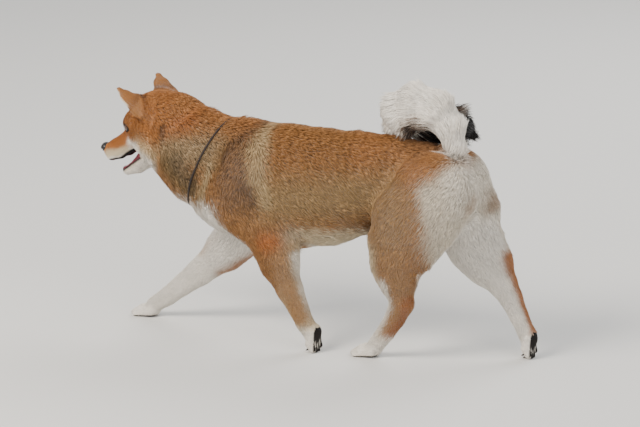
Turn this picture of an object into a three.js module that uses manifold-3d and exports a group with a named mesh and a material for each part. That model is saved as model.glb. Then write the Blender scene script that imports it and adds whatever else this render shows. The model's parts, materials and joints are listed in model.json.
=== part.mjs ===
// A life-size shiba inu, still, in mid trot: head turned a little to its right, mouth open, tail curled
// over the croup.
// Millimetres, +Z up, the dog faces -X and its left side is -Y. The solids follow the outer surface of
// the coat.
// The whole dog is one smooth field. Each sub-part is the stretch of that field between its neighbours'
// cutting planes.
import * as THREE from "three";
import { mergeVertices } from "three/addons/utils/BufferGeometryUtils.js";
import Module from "manifold-3d";

// Driving dimensions
const WITHERS_TOP = 370; // top of the coat at the withers, with the legs spread in trot
const RIB_HALF_DEPTH = 105; // half the depth of the chest, coat included
const RIB_FLATTEN = 0.73; // the chest's width over its depth
const CUT_GAP = 0.3; // clear gap left between touching sub-parts
const FLOOR = 0; // level of the small flats that the paws rest on

const wasm = await Module();
wasm.setup();

// Fields. Each is a function of x, y, z that is negative inside.

// Smooth union of two distances, rounded over a width k.
function smoothMin(a, b, k) {
  const h = Math.max(k - Math.abs(a - b), 0) / k;
  return Math.min(a, b) - h * h * k * 0.25;
}

// A chain of balls joined by cones. Stations are [x, y, z, radius]; flatten squeezes it across Y about
// its own line.
function limb(stations, flatten = 1, blend = 0.2) {
  const parts = stations.slice(1).map((b, i) => {
    const a = stations[i];
    const d = [b[0] - a[0], (b[1] - a[1]) / flatten, b[2] - a[2]];
    return { a, b, d, dd: d[0] ** 2 + d[1] ** 2 + d[2] ** 2, k: blend * Math.min(a[3], b[3]) };
  });
  return (x, y, z) => {
    let best = Infinity;
    for (const { a, b, d, dd, k } of parts) {
      const px = x - a[0];
      const py = (y - a[1]) / flatten;
      const pz = z - a[2];
      const t = Math.min(1, Math.max(0, (px * d[0] + py * d[1] + pz * d[2]) / dd));
      const qx = px - t * d[0];
      const qy = py - t * d[1];
      const qz = pz - t * d[2];
      const length = Math.hypot(qx, qy, qz) || 1e-6;
      const slope = Math.hypot(qx, qy / flatten, qz) / length;
      const reach = (length - (a[3] + t * (b[3] - a[3]))) / slope;
      best = best === Infinity ? reach : smoothMin(best, reach, k);
    }
    return best;
  };
}

// One ball, or an ellipsoid with half-sizes [rx, ry, rz].
function ball(centre, sizes) {
  const [rx, ry, rz] = Array.isArray(sizes) ? sizes : [sizes, sizes, sizes];
  return (x, y, z) => {
    const px = (x - centre[0]) / rx;
    const py = (y - centre[1]) / ry;
    const pz = (z - centre[2]) / rz;
    const reach = Math.hypot(px, py, pz);
    return reach < 1e-6 ? -Math.min(rx, ry, rz) : (reach * (reach - 1)) / Math.hypot(px / rx, py / ry,
      pz / rz);
  };
}

// Smooth union of several fields over a width k.
function blend(k, ...fields) {
  return (x, y, z) => fields.reduce((best, f) => smoothMin(best, f(x, y, z), k), 1e3);
}

// A field with another one hollowed out of it.
function hollow(k, field, cutter) {
  return (x, y, z) => -smoothMin(-field(x, y, z), cutter(x, y, z), k);
}

// A field given in its own frame, set in place by a matrix.
function placed(matrix, field) {
  const e = matrix.clone().invert().elements;
  return (x, y, z) =>
    field(
      e[0] * x + e[4] * y + e[8] * z + e[12],
      e[1] * x + e[5] * y + e[9] * z + e[13],
      e[2] * x + e[6] * y + e[10] * z + e[14],
    );
}

// The same field on both sides of Y = 0.
function bothSides(field) {
  return (x, y, z) => field(x, -Math.abs(y), z);
}

const degrees = THREE.MathUtils.degToRad;

// A frame at a point, turned by yaw (nose towards +Y), then pitch (nose down), then roll, in degrees.
function frameAt([x, y, z], yaw = 0, pitch = 0, roll = 0) {
  const turn = new THREE.Euler(degrees(roll), degrees(-pitch), degrees(-yaw), "ZYX");
  return new THREE.Matrix4().makeRotationFromEuler(turn).setPosition(x, y, z);
}

// Trunk and neck
const trunk = limb(
  [
    [-158, 0, 248, 76],
    [-110, 0, WITHERS_TOP - 101, 101],
    [-50, 0, WITHERS_TOP - RIB_HALF_DEPTH, RIB_HALF_DEPTH],
    [10, 0, 270, 99],
    [70, 0, 282, 87],
    [130, 0, 288, 80],
    [190, 0, 286, 74],
    [226, 0, 284, 60],
  ],
  RIB_FLATTEN,
  0.1,
);
const neck = limb(
  [
    [-165, 0, 288, 82],
    [-222, 6, 306, 79],
    [-272, 16, 332, 70],
    [-306, 24, 348, 56],
  ],
  0.86,
  0.1,
);
const ruff = limb(
  [
    [-236, 4, 262, 44],
    [-286, 18, 292, 36],
  ],
  0.9,
);

// Legs. Each is a line of stations from its root in the trunk to the joint that carries the paw.
const LEG_FLATTEN = 0.74;
const foreLeft = blend(
  26,
  limb([[-112, -42, 300, 50], [-150, -48, 246, 46], [-70, -56, 196, 42], [-52, -57, 160, 33]], LEG_FLATTEN),
  limb(
    [[-52, -57, 165, 32], [-46, -57, 138, 29], [-30, -56, 102, 24], [-14, -55, 70, 18.5], [-4, -54, 48,
      16.5], [9, -53, 30, 15.5]],
    LEG_FLATTEN,
  ),
);
const foreRight = blend(
  26,
  limb([[-125, 42, 290, 50], [-175, 46, 240, 48], [-150, 52, 180, 42], [-190, 52, 140, 34]], LEG_FLATTEN),
  limb(
    [[-165, 52, 165, 36], [-205, 51, 123, 31], [-248, 50, 86, 24], [-281, 49, 60, 19], [-309, 48, 37,
      16.5], [-334, 48, 21, 14.5]],
    LEG_FLATTEN,
  ),
);
const hindLeft = blend(
  26,
  limb([[215, -38, 288, 66], [180, -50, 240, 62], [158, -56, 200, 46], [160, -56, 158, 36]], 0.72),
  limb([[232, -36, 280, 56], [222, -44, 240, 48], [196, -54, 186, 36]], 0.72),
  limb(
    [[160, -56, 160, 36], [166, -55, 128, 26], [171, -54, 100, 22], [158, -51, 72, 18], [140, -47, 45,
      16], [122, -44, 22, 15]],
    0.76,
  ),
);
const hindRight = blend(
  26,
  limb([[224, 38, 286, 66], [244, 46, 240, 58], [250, 52, 200, 50], [270, 54, 168, 42]], 0.72),
  limb(
    [[262, 54, 176, 44], [286, 55, 148, 36], [304, 55, 124, 27], [320, 55, 100, 21], [335, 55, 70, 17],
      [348, 55, 44, 15.5], [354, 54, 30, 15]],
    0.76,
  ),
);

// Paws. Each has its own frame at the ball of the foot: toes along -X, pads towards -Z.
const TOES = [-1.5, -0.5, 0.5, 1.5].map((place) => ({
  y: place * 9.2,
  reach: Math.abs(place) < 1 ? 27 : 21,
}));

function toes(frame) {
  const each = TOES.map(({ y, reach }) =>
    limb([[4, y * 0.8, 0, 9], [-0.55 * reach, y, 1.5, 8.6], [-reach, y * 1.05, -3, 6.6]], 0.86),
  );
  return placed(frame, blend(3, ball([4, 0, 0], [14, 17, 12]), ...each));
}

// Two paws lie flat; the other two are leaving the floor and stand on the tips of their toes.
const FLAT_CLAWS = -18;
const RAISED_CLAWS = 58;
const PAWS = {
  fore_left: { frame: frameAt([13, -53, 28.5], 0, 90), clawTilt: RAISED_CLAWS },
  fore_right: { frame: frameAt([-343, 48, 9.5], 0, 4), clawTilt: FLAT_CLAWS },
  hind_left: { frame: frameAt([110, -43, 9.5], 0, 5), clawTilt: FLAT_CLAWS },
  hind_right: { frame: frameAt([356, 54, 30.5], 0, 88), clawTilt: RAISED_CLAWS },
};

// Head, in its own frame: origin in the middle of the cranium, the skull level and facing -X, its left
// side at -Y.
const HEAD_FRAME = frameAt([-323, 31, 350], 14, 15, 5);
const cranium = blend(
  12,
  ball([12, 0, -4], [50, 44, 49]),
  ball([-24, 0, 0], [33, 30, 31]),
  bothSides(limb([[-47, -12, 5, 9], [-34, -20, 9, 11]])),
  bothSides(ball([9, -33, -25], [35, 26, 31])),
  limb([[10, 0, -24, 44], [46, 0, -14, 50]]),
);
const upperMuzzle = blend(
  6,
  limb([[-44, 0, -22, 25], [-72, 0, -29, 17.5], [-98, 0, -33, 14], [-116, 0, -37, 12.5]], 0.98, 0.15),
  bothSides(limb([[-52, -15, -33, 12], [-84, -11, -43, 11.5], [-110, -6, -45, 10.5]], 0.9)),
);
const lowerJaw = blend(
  6,
  limb([[8, 0, -44, 28], [-32, 0, -60, 19], [-62, 0, -73, 13.5], [-89, 0, -77, 9]], 0.98),
  bothSides(limb([[-30, -15, -56, 10], [-60, -9, -68, 8], [-84, -4, -74, 7]], 0.9)),
);
const mouthTrough = limb([[-40, 0, -51, 8], [-66, 0, -61, 7], [-86, 0, -69, 4.5]], 1.3);
const tongueShape = limb([[-44, 0, -58, 4.6], [-66, 0, -67, 4.2], [-86, 0, -74, 3]], 1.7);

// Ears: pointed cups that lean forward and out. Each frame has Z along the ear and Y out of its back.
const EAR_BASE = [12, 35, 25];
const EAR_AXIS = [-25, 19, 45];
const EAR_OPENING = [-0.94, 0.34, 0];
const LEFT = -1;
const RIGHT = 1;

function earFrame(side) {
  const mirrored = (v) => new THREE.Vector3(v[0], side * v[1], v[2]);
  const axis = mirrored(EAR_AXIS).normalize();
  const width = new THREE.Vector3().crossVectors(axis, mirrored(EAR_OPENING)).normalize();
  const back = new THREE.Vector3().crossVectors(axis, width);
  const own = new THREE.Matrix4().makeBasis(width, back, axis).setPosition(mirrored(EAR_BASE));
  return new THREE.Matrix4().multiplyMatrices(HEAD_FRAME, own);
}
const earShape = hollow(
  2,
  limb([[0, 2, -12, 26], [0, 1, 8, 24], [0, 0, 32, 16], [0, 1, 54, 6]], 0.56, 0.1),
  limb([[0, -14, 4, 16], [0, -12, 24, 11]], 0.75, 0.1),
);
const ears = { left: placed(earFrame(LEFT), earShape), right: placed(earFrame(RIGHT), earShape) };

// Tail: a ring curled over the croup, ending low on the right side. It is made in three lengths.
const TAIL_FLATTEN = 0.9;
const TAIL_LENGTHS = {
  tail_base: [[216, 0, 322, 28], [240, -2, 352, 25], [234, -4, 392, 28], [210, -6, 420, 34]],
  tail_middle: [[210, -6, 420, 34], [172, -6, 427, 35], [143, -3, 410, 34], [134, 12, 390, 27]],
  tail_end: [[134, 12, 390, 27], [156, 36, 378, 22], [196, 54, 382, 25], [226, 61, 380, 24], [242, 65,
    366, 13]],
};

// The skin's fields: head, body with paws, and the whole.
const headField = placed(HEAD_FRAME, blend(12, cranium, hollow(3, blend(10, upperMuzzle, lowerJaw),
  mouthTrough)));
const legs = [foreLeft, foreRight, hindLeft, hindRight];
const bodyField = blend(8, blend(22, blend(34, trunk, neck), ...legs),
  ...Object.values(PAWS).map(({ frame }) => toes(frame)));
const wholeField = blend(18, bodyField, blend(20, blend(6, headField, ears.left, ears.right), ruff));

// Surface of a field inside a box, as a closed mesh: one vertex in each crossed cell, one quad across
// each crossed edge.
function surface(field, low, high, cell) {
  const inside = (x, y, z) =>
    Math.max(field(x, y, z), low[0] - x, x - high[0], low[1] - y, y - high[1], low[2] - z, z - high[2]);
  const n = low.map((v, i) => Math.ceil((high[i] - v) / cell) + 3);
  const at = (i, axis) => low[axis] + (i - 1.37) * cell;
  const index = (i, j, k) => i + n[0] * (j + n[1] * k);
  const values = new Float64Array(n[0] * n[1] * n[2]);
  for (let k = 0; k < n[2]; k++)
    for (let j = 0; j < n[1]; j++)
      for (let i = 0; i < n[0]; i++) values[index(i, j, k)] = inside(at(i, 0), at(j, 1), at(k, 2));
  const steps = [1, n[0], n[0] * n[1]];
  const vertexOf = new Map();
  const positions = [];
  const triangles = [];
  const corners = [];
  for (let c = 0; c < 8; c++) corners.push([c & 1, (c >> 1) & 1, (c >> 2) & 1]);

  // The vertex of the cell whose low corner is i, j, k: the mean of its edge crossings, pulled onto the
  // surface.
  function vertex(i, j, k) {
    const key = index(i, j, k);
    if (vertexOf.has(key)) return vertexOf.get(key);
    const sum = [0, 0, 0];
    let count = 0;
    for (const a of corners)
      for (let axis = 0; axis < 3; axis++) {
        if (a[axis]) continue;
        const from = key + a[0] * steps[0] + a[1] * steps[1] + a[2] * steps[2];
        const va = values[from];
        const vb = values[from + steps[axis]];
        if (va < 0 === vb < 0) continue;
        a.forEach((offset, m) => (sum[m] += offset + (m === axis ? va / (va - vb) : 0)));
        count += 1;
      }
    const p = sum.map((v, m) => at([i, j, k][m] + v / count, m));
    const step = 0.2;
    for (let turn = 0; turn < 3; turn++) {
      const d = inside(...p);
      const g = p.map((v, m) => {
        const q = [...p];
        q[m] += step;
        return (inside(...q) - d) / step;
      });
      const size = g[0] ** 2 + g[1] ** 2 + g[2] ** 2;
      if (size > 0.2) p.forEach((v, m) => (p[m] = v - THREE.MathUtils.clamp((d * g[m]) / size,
        -cell / 3, cell / 3)));
    }
    vertexOf.set(key, positions.length / 3);
    positions.push(...p);
    return positions.length / 3 - 1;
  }

  for (let k = 1; k < n[2] - 1; k++)
    for (let j = 1; j < n[1] - 1; j++)
      for (let i = 1; i < n[0] - 1; i++)
        for (let axis = 0; axis < 3; axis++) {
          const here = values[index(i, j, k)] < 0;
          if (here === values[index(i, j, k) + steps[axis]] < 0) continue;
          const [u, v] = [(axis + 1) % 3, (axis + 2) % 3];
          const around = [[0, 0], [1, 0], [1, 1], [0, 1]].map(([du, dv]) => {
            const c = [i, j, k];
            c[u] -= du;
            c[v] -= dv;
            return vertex(...c);
          });
          if (!here) around.reverse();
          const [a, b, c, d] = around;
          triangles.push(a, b, c, a, c, d);
        }
  return { positions, triangles };
}

// Solids: from three.js geometry to manifold-3d for the cuts, and back.
function solidOf(geometry) {
  const bare = new THREE.BufferGeometry().setAttribute("position", geometry.getAttribute("position"));
  bare.setIndex(geometry.getIndex());
  const merged = mergeVertices(bare, 1e-4);
  return new wasm.Manifold(
    new wasm.Mesh({
      numProp: 3,
      vertProperties: new Float32Array(merged.attributes.position.array),
      triVerts: new Uint32Array(merged.index.array),
    }),
  );
}

function fieldSolid(field, low, high, cell) {
  const { positions, triangles } = surface(field, low, high, cell);
  const geometry = new THREE.BufferGeometry().setAttribute("position",
    new THREE.Float32BufferAttribute(positions, 3));
  geometry.setIndex(triangles);
  return solidOf(geometry);
}

function geometryOf(solid) {
  const mesh = solid.getMesh();
  const positions = new Float32Array(mesh.numVert * 3);
  for (let i = 0; i < mesh.numVert; i++)
    positions.set(mesh.vertProperties.subarray(i * mesh.numProp, i * mesh.numProp + 3), i * 3);
  const geometry = new THREE.BufferGeometry().setAttribute("position",
    new THREE.BufferAttribute(positions, 3));
  geometry.setIndex(new THREE.BufferAttribute(mesh.triVerts, 1));
  geometry.computeVertexNormals();
  return geometry;
}

// What lies beyond a cutting plane, as one big box: through a point, on the side that the normal points to.
const FAR = 1200;
function beyond(point, normal, gap = CUT_GAP / 2) {
  const box = new THREE.BoxGeometry(FAR, FAR, FAR).translate(0, 0, FAR / 2 - gap);
  const turn = new THREE.Quaternion().setFromUnitVectors(new THREE.Vector3(0, 0, 1),
    new THREE.Vector3(...normal).normalize());
  box.applyQuaternion(turn).translate(...point);
  return solidOf(box);
}

// Cutting planes: [point, normal]. A sub-part keeps what lies beyond its own planes and before its
// neighbours'.
function inHead([point, normal]) {
  const turn = new THREE.Matrix3().setFromMatrix4(HEAD_FRAME);
  return [
    new THREE.Vector3(...point).applyMatrix4(HEAD_FRAME).toArray(),
    new THREE.Vector3(...normal).applyMatrix3(turn).toArray(),
  ];
}

const flip = ([point, normal]) => [point, normal.map((v) => -v)];
const NECK_END = inHead([[42, 0, 0], [0.955, 0, -0.295]]);
const CHEST_START = [[-160, 0, 330], [0.91, 0, -0.416]];
const BARREL_START = [[-20, 0, 0], [1, 0, 0]];
const RUMP_START = [[125, 0, 0], [1, 0, 0]];
const MID_LEFT = [[0, 0, 0], [0, -1, 0]];
const MID_RIGHT = [[0, 0, 0], [0, 1, 0]];
const FORE = [[50, 0, 0], [-1, 0, 0]];
const HIND = [[50, 0, 0], [1, 0, 0]];
const ground = [[0, 0, FLOOR], [0, 0, 1]];

// Each leg: where it leaves the trunk, then the planes at its joints, from the top down.
const LEGS = {
  fore_left: {
    side: [MID_LEFT, FORE],
    joints: [
      [[-60, -28, 168], [0, -0.5, -0.866]],
      [[-17, -55, 74], [0.42, 0, -0.91]],
      [[3, -53, 34], [0.45, 0, -0.89]],
    ],
    names: ["forearm", "metacarpus", "paw"],
  },
  fore_right: {
    side: [MID_RIGHT, FORE],
    joints: [
      [[-165, 28, 166], [-0.25, 0.5, -0.83]],
      [[-276, 49, 64], [-0.8, 0, -0.6]],
      [[-323, 48, 31], [-0.86, 0, -0.5]],
    ],
    names: ["forearm", "metacarpus", "paw"],
  },
  hind_left: {
    side: [MID_LEFT, HIND],
    joints: [
      [[190, -30, 222], [0, -0.45, -0.89]],
      [[160, -56, 158], [0.1, 0, -1]],
      [[171, -54, 96], [-0.35, 0, -0.94]],
      [[130, -45, 36], [-0.72, 0, -0.7]],
    ],
    names: ["thigh", "shank", "metatarsus", "paw"],
  },
  hind_right: {
    side: [MID_RIGHT, HIND],
    joints: [
      [[240, 30, 216], [0.2, 0.4, -0.89]],
      [[282, 55, 152], [0.6, 0, -0.8]],
      [[321, 55, 98], [0.42, 0, -0.91]],
      [[350, 55, 34], [0.3, 0, -0.95]],
    ],
    names: ["thigh", "shank", "metatarsus", "paw"],
  },
};

// Keeps the part of a solid that lies beyond every plane.
function keep(solid, planes) {
  return planes.reduce((left, [point, normal]) => left.subtract(beyond(point, normal.map((v) => -v))),
    solid);
}

// The region beyond every plane, as a solid that can be taken from a neighbour with the cutting gap
// around it.
function wedge(planes) {
  return planes.slice(1).reduce((left, [p, n]) => left.intersect(beyond(p, n)), beyond(...planes[0]));
}

const COLOURS = {
  orange: 0xb5713a,
  cream: 0xe3d6c1,
  dark: 0x2a211c,
  pink: 0xb5656a,
  bone: 0xe9e2cf,
};
const group = new THREE.Group();
group.name = "shiba_inu";

// The largest body of a solid: thin cuts can leave slivers beside it.
function largest(solid) {
  return solid.decompose().sort((a, b) => b.volume() - a.volume())[0];
}

// Adds one sub-part as a named mesh. The second pass parts what only touched along an edge.
function add(name, solid, colour, roughness = 0.9) {
  const body = largest(solidOf(geometryOf(largest(solid))));
  const material = new THREE.MeshStandardMaterial({ color: COLOURS[colour], roughness });
  const mesh = new THREE.Mesh(geometryOf(body), material);
  mesh.name = name;
  group.add(mesh);
  return body;
}

// Trunk and neck
const legWedges = Object.values(LEGS).map(({ side, joints }) => wedge([...side, joints[0]]));
const TRUNK_CELL = 28;
const TRUNK_BOX = [
  [-360, -110, 90],
  [340, 110, 430],
];
const TAIL_CELL = 17;
const TAIL_BOX = [
  [80, -60, 300],
  [300, 110, 480],
];
const grown = (field, by) => (x, y, z) => field(x, y, z) - by;
const bodySolid = fieldSolid(wholeField, ...TRUNK_BOX, TRUNK_CELL);
const trunkSpace = fieldSolid(grown(wholeField, 0.9), ...TRUNK_BOX, TRUNK_CELL);
const torso = legWedges.reduce((left, leg) => left.subtract(leg), bodySolid);
add("neck", keep(torso, [NECK_END, flip(CHEST_START)]), "orange");
add("chest", keep(torso, [CHEST_START, flip(BARREL_START)]), "orange");
add("barrel", keep(torso, [BARREL_START, flip(RUMP_START)]), "orange");
const tailFields = Object.entries(TAIL_LENGTHS).map(([name, stations]) => [name, limb(stations,
  TAIL_FLATTEN, 0.3)]);
const tailRoot = fieldSolid(grown(tailFields[0][1], 1.2), ...TAIL_BOX, TAIL_CELL);
const tailBase = fieldSolid(tailFields[0][1], ...TAIL_BOX, TAIL_CELL);
add("rump", keep(torso, [RUMP_START]).subtract(tailRoot).subtract(tailBase), "orange");

// Claws: short curved cones seated in the toes. They are given in the paw's frame.
const CLAW_LENGTH = 12;
const CLAW_RADIUS = 2.6;
function claw(matrix, grow = 0) {
  const profile = [[0, -2], [1, -1], [0.75, 0.5]].map(
    ([r, t], i) =>
      new THREE.Vector2(i ? r * CLAW_RADIUS + grow : 0, t > 0 ? t * CLAW_LENGTH + grow : t - grow),
  );
  const geometry = new THREE.LatheGeometry([...profile, new THREE.Vector2(0, CLAW_LENGTH + grow)], 5);
  return solidOf(geometry.applyMatrix4(matrix));
}

function clawMatrix({ frame, clawTilt }, y, reach) {
  const seat = frameAt([1 - reach, y * 1.05, clawTilt > 0 ? 1.5 : -0.5]);
  seat.multiply(new THREE.Matrix4().makeRotationY(degrees(clawTilt)));
  seat.multiply(new THREE.Matrix4().makeRotationZ(Math.PI / 2));
  return new THREE.Matrix4().multiplyMatrices(frame, seat);
}

// Legs, from the trunk down, with paws cut flat at the floor
const LEG_CELLS = { thigh: 22, forearm: 18, shank: 17, metacarpus: 12.6, metatarsus: 13, paw: 9.3 };
for (const [leg, { side, joints, names }] of Object.entries(LEGS)) {
  names.forEach((name, i) => {
    const planes = [...side, joints[i], ...(joints[i + 1] ? [flip(joints[i + 1])] : []), ground];
    const [px, py, pz] = joints[i][0];
    const [qx, qy, qz] = joints[i + 1]?.[0] ?? new THREE.Vector3(-24, 0,
      0).applyMatrix4(PAWS[leg].frame).toArray();
    const around = name === "thigh" ? 125 : name === "paw" ? 34 : 62;
    const low = [Math.min(px, qx) - around, Math.min(py, qy) - around, Math.max(-14, Math.min(pz,
      qz) - around)];
    const high = [Math.max(px, qx) + around, Math.max(py, qy) + around, Math.max(pz, qz) + around];
    let solid = keep(fieldSolid(wholeField, low, high, LEG_CELLS[name]), planes);
    if (name === "paw") {
      TOES.forEach(({ y, reach }, toe) => {
        const matrix = clawMatrix(PAWS[leg], y, reach);
        add(`${leg}_claw_${toe + 1}`, keep(claw(matrix), [ground]), "dark", 0.4);
        solid = solid.subtract(claw(matrix, 0.4));
      });
    }
    add(`${leg}_${name}`, solid, name === "paw" ? "cream" : "orange");
  });
}

// Head, jaw and what the face carries
const NOSE = [-124, 0, -30];
const NOSE_SIZES = [8.5, 11, 8.5];
const EYE = [-42.5, 21, -2.6];
const EYE_RADIUS = 9;
function headBall(centre, sizes, grow = 0) {
  const geometry = new THREE.SphereGeometry(1, 10, 7);
  geometry.scale(...sizes.map((v) => v + grow)).translate(...centre);
  return solidOf(geometry.applyMatrix4(HEAD_FRAME));
}
const EMBED = 0.35;
const eyeCentre = (side) => [EYE[0], side * EYE[1], EYE[2]];
const eyeSizes = [EYE_RADIUS, EYE_RADIUS, EYE_RADIUS];
const HEAD_CELL = 13.2;
const MUZZLE_CELL = 10;
const headCentre = new THREE.Vector3().setFromMatrixPosition(HEAD_FRAME).toArray();
const aroundHead = (down, up) => [headCentre.map((v) => v - down), headCentre.map((v) => v + up)];
const JAW = [
  inHead([[-36, 0, -48], [0.2, 0, -0.98]]),
  inHead([[-12, 0, -60], [-0.96, 0, 0.28]]),
];
const headBlock = fieldSolid(wholeField, [-480, -60, 215], [-230, 130, 440], HEAD_CELL);
const EAR_CUT = {
  left: [[[5, -41, 41], [-0.47, -0.34, 0.82]], [[0, -18, 0], [0, -1, 0]], [[-24, 0, 0], [1, 0,
    0]]].map(inHead),
  right: [[[5, 41, 41], [-0.47, 0.34, 0.82]], [[0, 18, 0], [0, 1, 0]], [[-24, 0, 0], [1, 0,
    0]]].map(inHead),
};
const skull = [wedge(EAR_CUT.left), wedge(EAR_CUT.right), wedge(JAW)]
  .reduce((left, part) => left.subtract(part), keep(headBlock, [flip(NECK_END)]))
  .subtract(headBall(NOSE, NOSE_SIZES, EMBED))
  .subtract(headBall(eyeCentre(LEFT), eyeSizes, EMBED))
  .subtract(headBall(eyeCentre(RIGHT), eyeSizes, EMBED));
add("head", skull, "orange");
add("nose", headBall(NOSE, NOSE_SIZES), "dark", 0.5);
add("eye_left", headBall(eyeCentre(LEFT), eyeSizes), "dark", 0.1);
add("eye_right", headBall(eyeCentre(RIGHT), eyeSizes), "dark", 0.1);

const tongueField = placed(HEAD_FRAME, tongueShape);
const tongueLimits = [[-460, 0, 200], [-330, 110, 340], 5.5];
const tongueSpace = fieldSolid(grown(tongueField, 1.2), ...tongueLimits);
const jawBlock = keep(fieldSolid(wholeField, [-470, -40, 205], [-290, 110, 350], MUZZLE_CELL), [...JAW,
  flip(NECK_END)]);
const TOOTH = { height: 9, radius: 2.2, place: [-82, 6.5, -69] };
function tooth(side, grow = 0) {
  const geometry = new THREE.ConeGeometry(TOOTH.radius + grow, TOOTH.height * 2 + grow, 6);
  geometry.rotateX(Math.PI / 2).rotateY(degrees(-24)).translate(TOOTH.place[0], side * TOOTH.place[1],
    TOOTH.place[2]);
  return solidOf(geometry.applyMatrix4(HEAD_FRAME));
}
const tongueBlock = fieldSolid(tongueField, ...tongueLimits);
const jaw = jawBlock.subtract(tongueSpace).subtract(tongueBlock).subtract(tooth(LEFT,
  EMBED)).subtract(tooth(RIGHT, EMBED));
add("lower_jaw", jaw, "cream");
const tongue = tongueBlock.subtract(tooth(LEFT, EMBED)).subtract(tooth(RIGHT, EMBED));
add("tongue", keep(tongue, [JAW[1]]), "pink", 0.4);
add("tooth_lower_left", tooth(LEFT), "bone", 0.3);
add("tooth_lower_right", tooth(RIGHT), "bone", 0.3);

const EAR_CELL = 5.6;
for (const [name, planes] of Object.entries(EAR_CUT)) {
  const tip = name === "left" ? [-420, -80, 370] : [-420, 20, 370];
  const solid = fieldSolid(wholeField, tip, tip.map((v, i) => v + [160, 140, 90][i]), EAR_CELL);
  add(`ear_${name}`, keep(solid, [...planes, flip(NECK_END)]), "orange");
}

// Tail, resting on the croup: each length gives way to the ones before it, and the later two to the back
let taken = trunkSpace;
tailFields.forEach(([name, field], i) => {
  const solid = fieldSolid(field, ...TAIL_BOX, TAIL_CELL);
  add(name, i ? solid.subtract(taken) : solid, "cream");
  taken = taken.add(fieldSolid(grown(field, 1.5), ...TAIL_BOX, TAIL_CELL)).add(solid);
});

// Collar: a round cord laid on the neck's coat, with a small slide on its left side
const CORD_RADIUS = 1.7;
const COLLAR = { centre: new THREE.Vector3(-192, 3, 308), down: new THREE.Vector3(-0.42, 0, -0.907),
  turns: 40 };
const across = new THREE.Vector3(0, 1, 0);
const collarPoints = Array.from({ length: COLLAR.turns }, (_, i) => {
  const angle = (i / COLLAR.turns) * 2 * Math.PI;
  const ray = across.clone().multiplyScalar(Math.sin(angle)).addScaledVector(COLLAR.down, Math.cos(angle));
  let reach = 30;
  for (let turn = 0; turn < 60; turn++)
    reach -= 0.7 * wholeField(...COLLAR.centre.clone().addScaledVector(ray, reach).toArray());
  return COLLAR.centre.clone().addScaledVector(ray, reach + CORD_RADIUS + 0.8);
});
const collarLine = new THREE.CatmullRomCurve3(collarPoints, true);
const cord = solidOf(new THREE.TubeGeometry(collarLine, 44, CORD_RADIUS, 5, true));
add("collar", cord.subtract(trunkSpace), "dark", 0.6);

// The group is set with the middle of its footprint at the origin.
const box = new THREE.Box3().setFromObject(group);
const centre = box.getCenter(new THREE.Vector3());
group.children.forEach((mesh) => mesh.geometry.translate(-centre.x, -centre.y, -box.min.z));

export default group;
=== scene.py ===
"""Life-size shiba inu at a trot: one skin, a coat of tufts, eyes, nose, mouth, claws and a thin collar.

Shapes are fields in millimetres in the animal's own frame. Blender gets metres in the shared frame.
"""

import json
import logging
import math
from dataclasses import dataclass
from enum import Enum
from typing import Callable, Sequence

import bmesh
import bpy
import numpy as np
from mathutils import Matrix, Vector

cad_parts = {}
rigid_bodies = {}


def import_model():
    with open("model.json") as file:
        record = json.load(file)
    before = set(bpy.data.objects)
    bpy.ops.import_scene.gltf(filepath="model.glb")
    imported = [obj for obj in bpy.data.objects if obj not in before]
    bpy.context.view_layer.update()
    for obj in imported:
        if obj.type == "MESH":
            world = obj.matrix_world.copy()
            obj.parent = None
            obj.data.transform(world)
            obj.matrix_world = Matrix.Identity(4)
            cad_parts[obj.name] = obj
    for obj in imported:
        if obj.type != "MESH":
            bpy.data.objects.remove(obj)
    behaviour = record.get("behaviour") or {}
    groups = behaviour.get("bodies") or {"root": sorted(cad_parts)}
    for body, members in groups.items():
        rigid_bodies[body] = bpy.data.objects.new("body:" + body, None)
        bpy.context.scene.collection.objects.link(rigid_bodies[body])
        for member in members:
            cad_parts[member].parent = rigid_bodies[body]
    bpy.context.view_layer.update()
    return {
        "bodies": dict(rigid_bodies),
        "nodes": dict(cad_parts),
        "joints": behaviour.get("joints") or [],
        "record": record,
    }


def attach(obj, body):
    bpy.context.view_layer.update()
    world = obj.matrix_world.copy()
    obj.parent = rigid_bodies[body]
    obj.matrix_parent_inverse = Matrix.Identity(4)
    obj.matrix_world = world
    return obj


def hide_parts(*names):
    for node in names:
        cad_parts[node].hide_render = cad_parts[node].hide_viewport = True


logging.basicConfig(level=logging.INFO, format="%(name)s: %(message)s")
LOG = logging.getLogger("shiba")
Field = Callable[[np.ndarray], np.ndarray]
Lie = Callable[[np.ndarray, np.ndarray], np.ndarray]
SHIFT_MM = np.array([-34.632, -0.953, 0.150])
SIDES = (-1, 1)
SKIN_CELL_MM = 2.6
SKIN_BOX_MM = ((-452, -108, -6), (398, 108, 472))
SKIN_FLOOR_MM = 0.4
HAIR_FLOOR_MM = 0.3
ISLAND_VERTICES = 2000
# The middle of the tail's curl from the side, for its dark paint and for its longer hair.
CURL_PAINT_MM = np.array([186.0, 374.0])
CURL_HAIR_MM = np.array([186.0, 372.0])
# The part of the head, in its own frame, where lids are cut: its middle and its half widths.
LIDS_MIDDLE_MM = np.array([-40.0, 0.0, 0.0])
LIDS_REACH_MM = np.array([40.0, 45.0, 35.0])
LID_TILT = 0.22
# Where the skin is split finer: round each eye, along the mouth and in front of the nose's root.
FINE_EYE_MM = np.array([-46.0, 24.0, -1.0])
FINE_EYE_REACH_MM = 15
FINE_NOSE_MM = -104
FACE_STEPS = 2
SEED = 11


def to_frame(points: np.ndarray) -> np.ndarray:
    """Moves points from the animal's frame to the shared one.

    Args:
        points: Places in millimetres.
    Returns:
        Places in metres.
    """
    return (points - SHIFT_MM) / 1000.0


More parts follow.
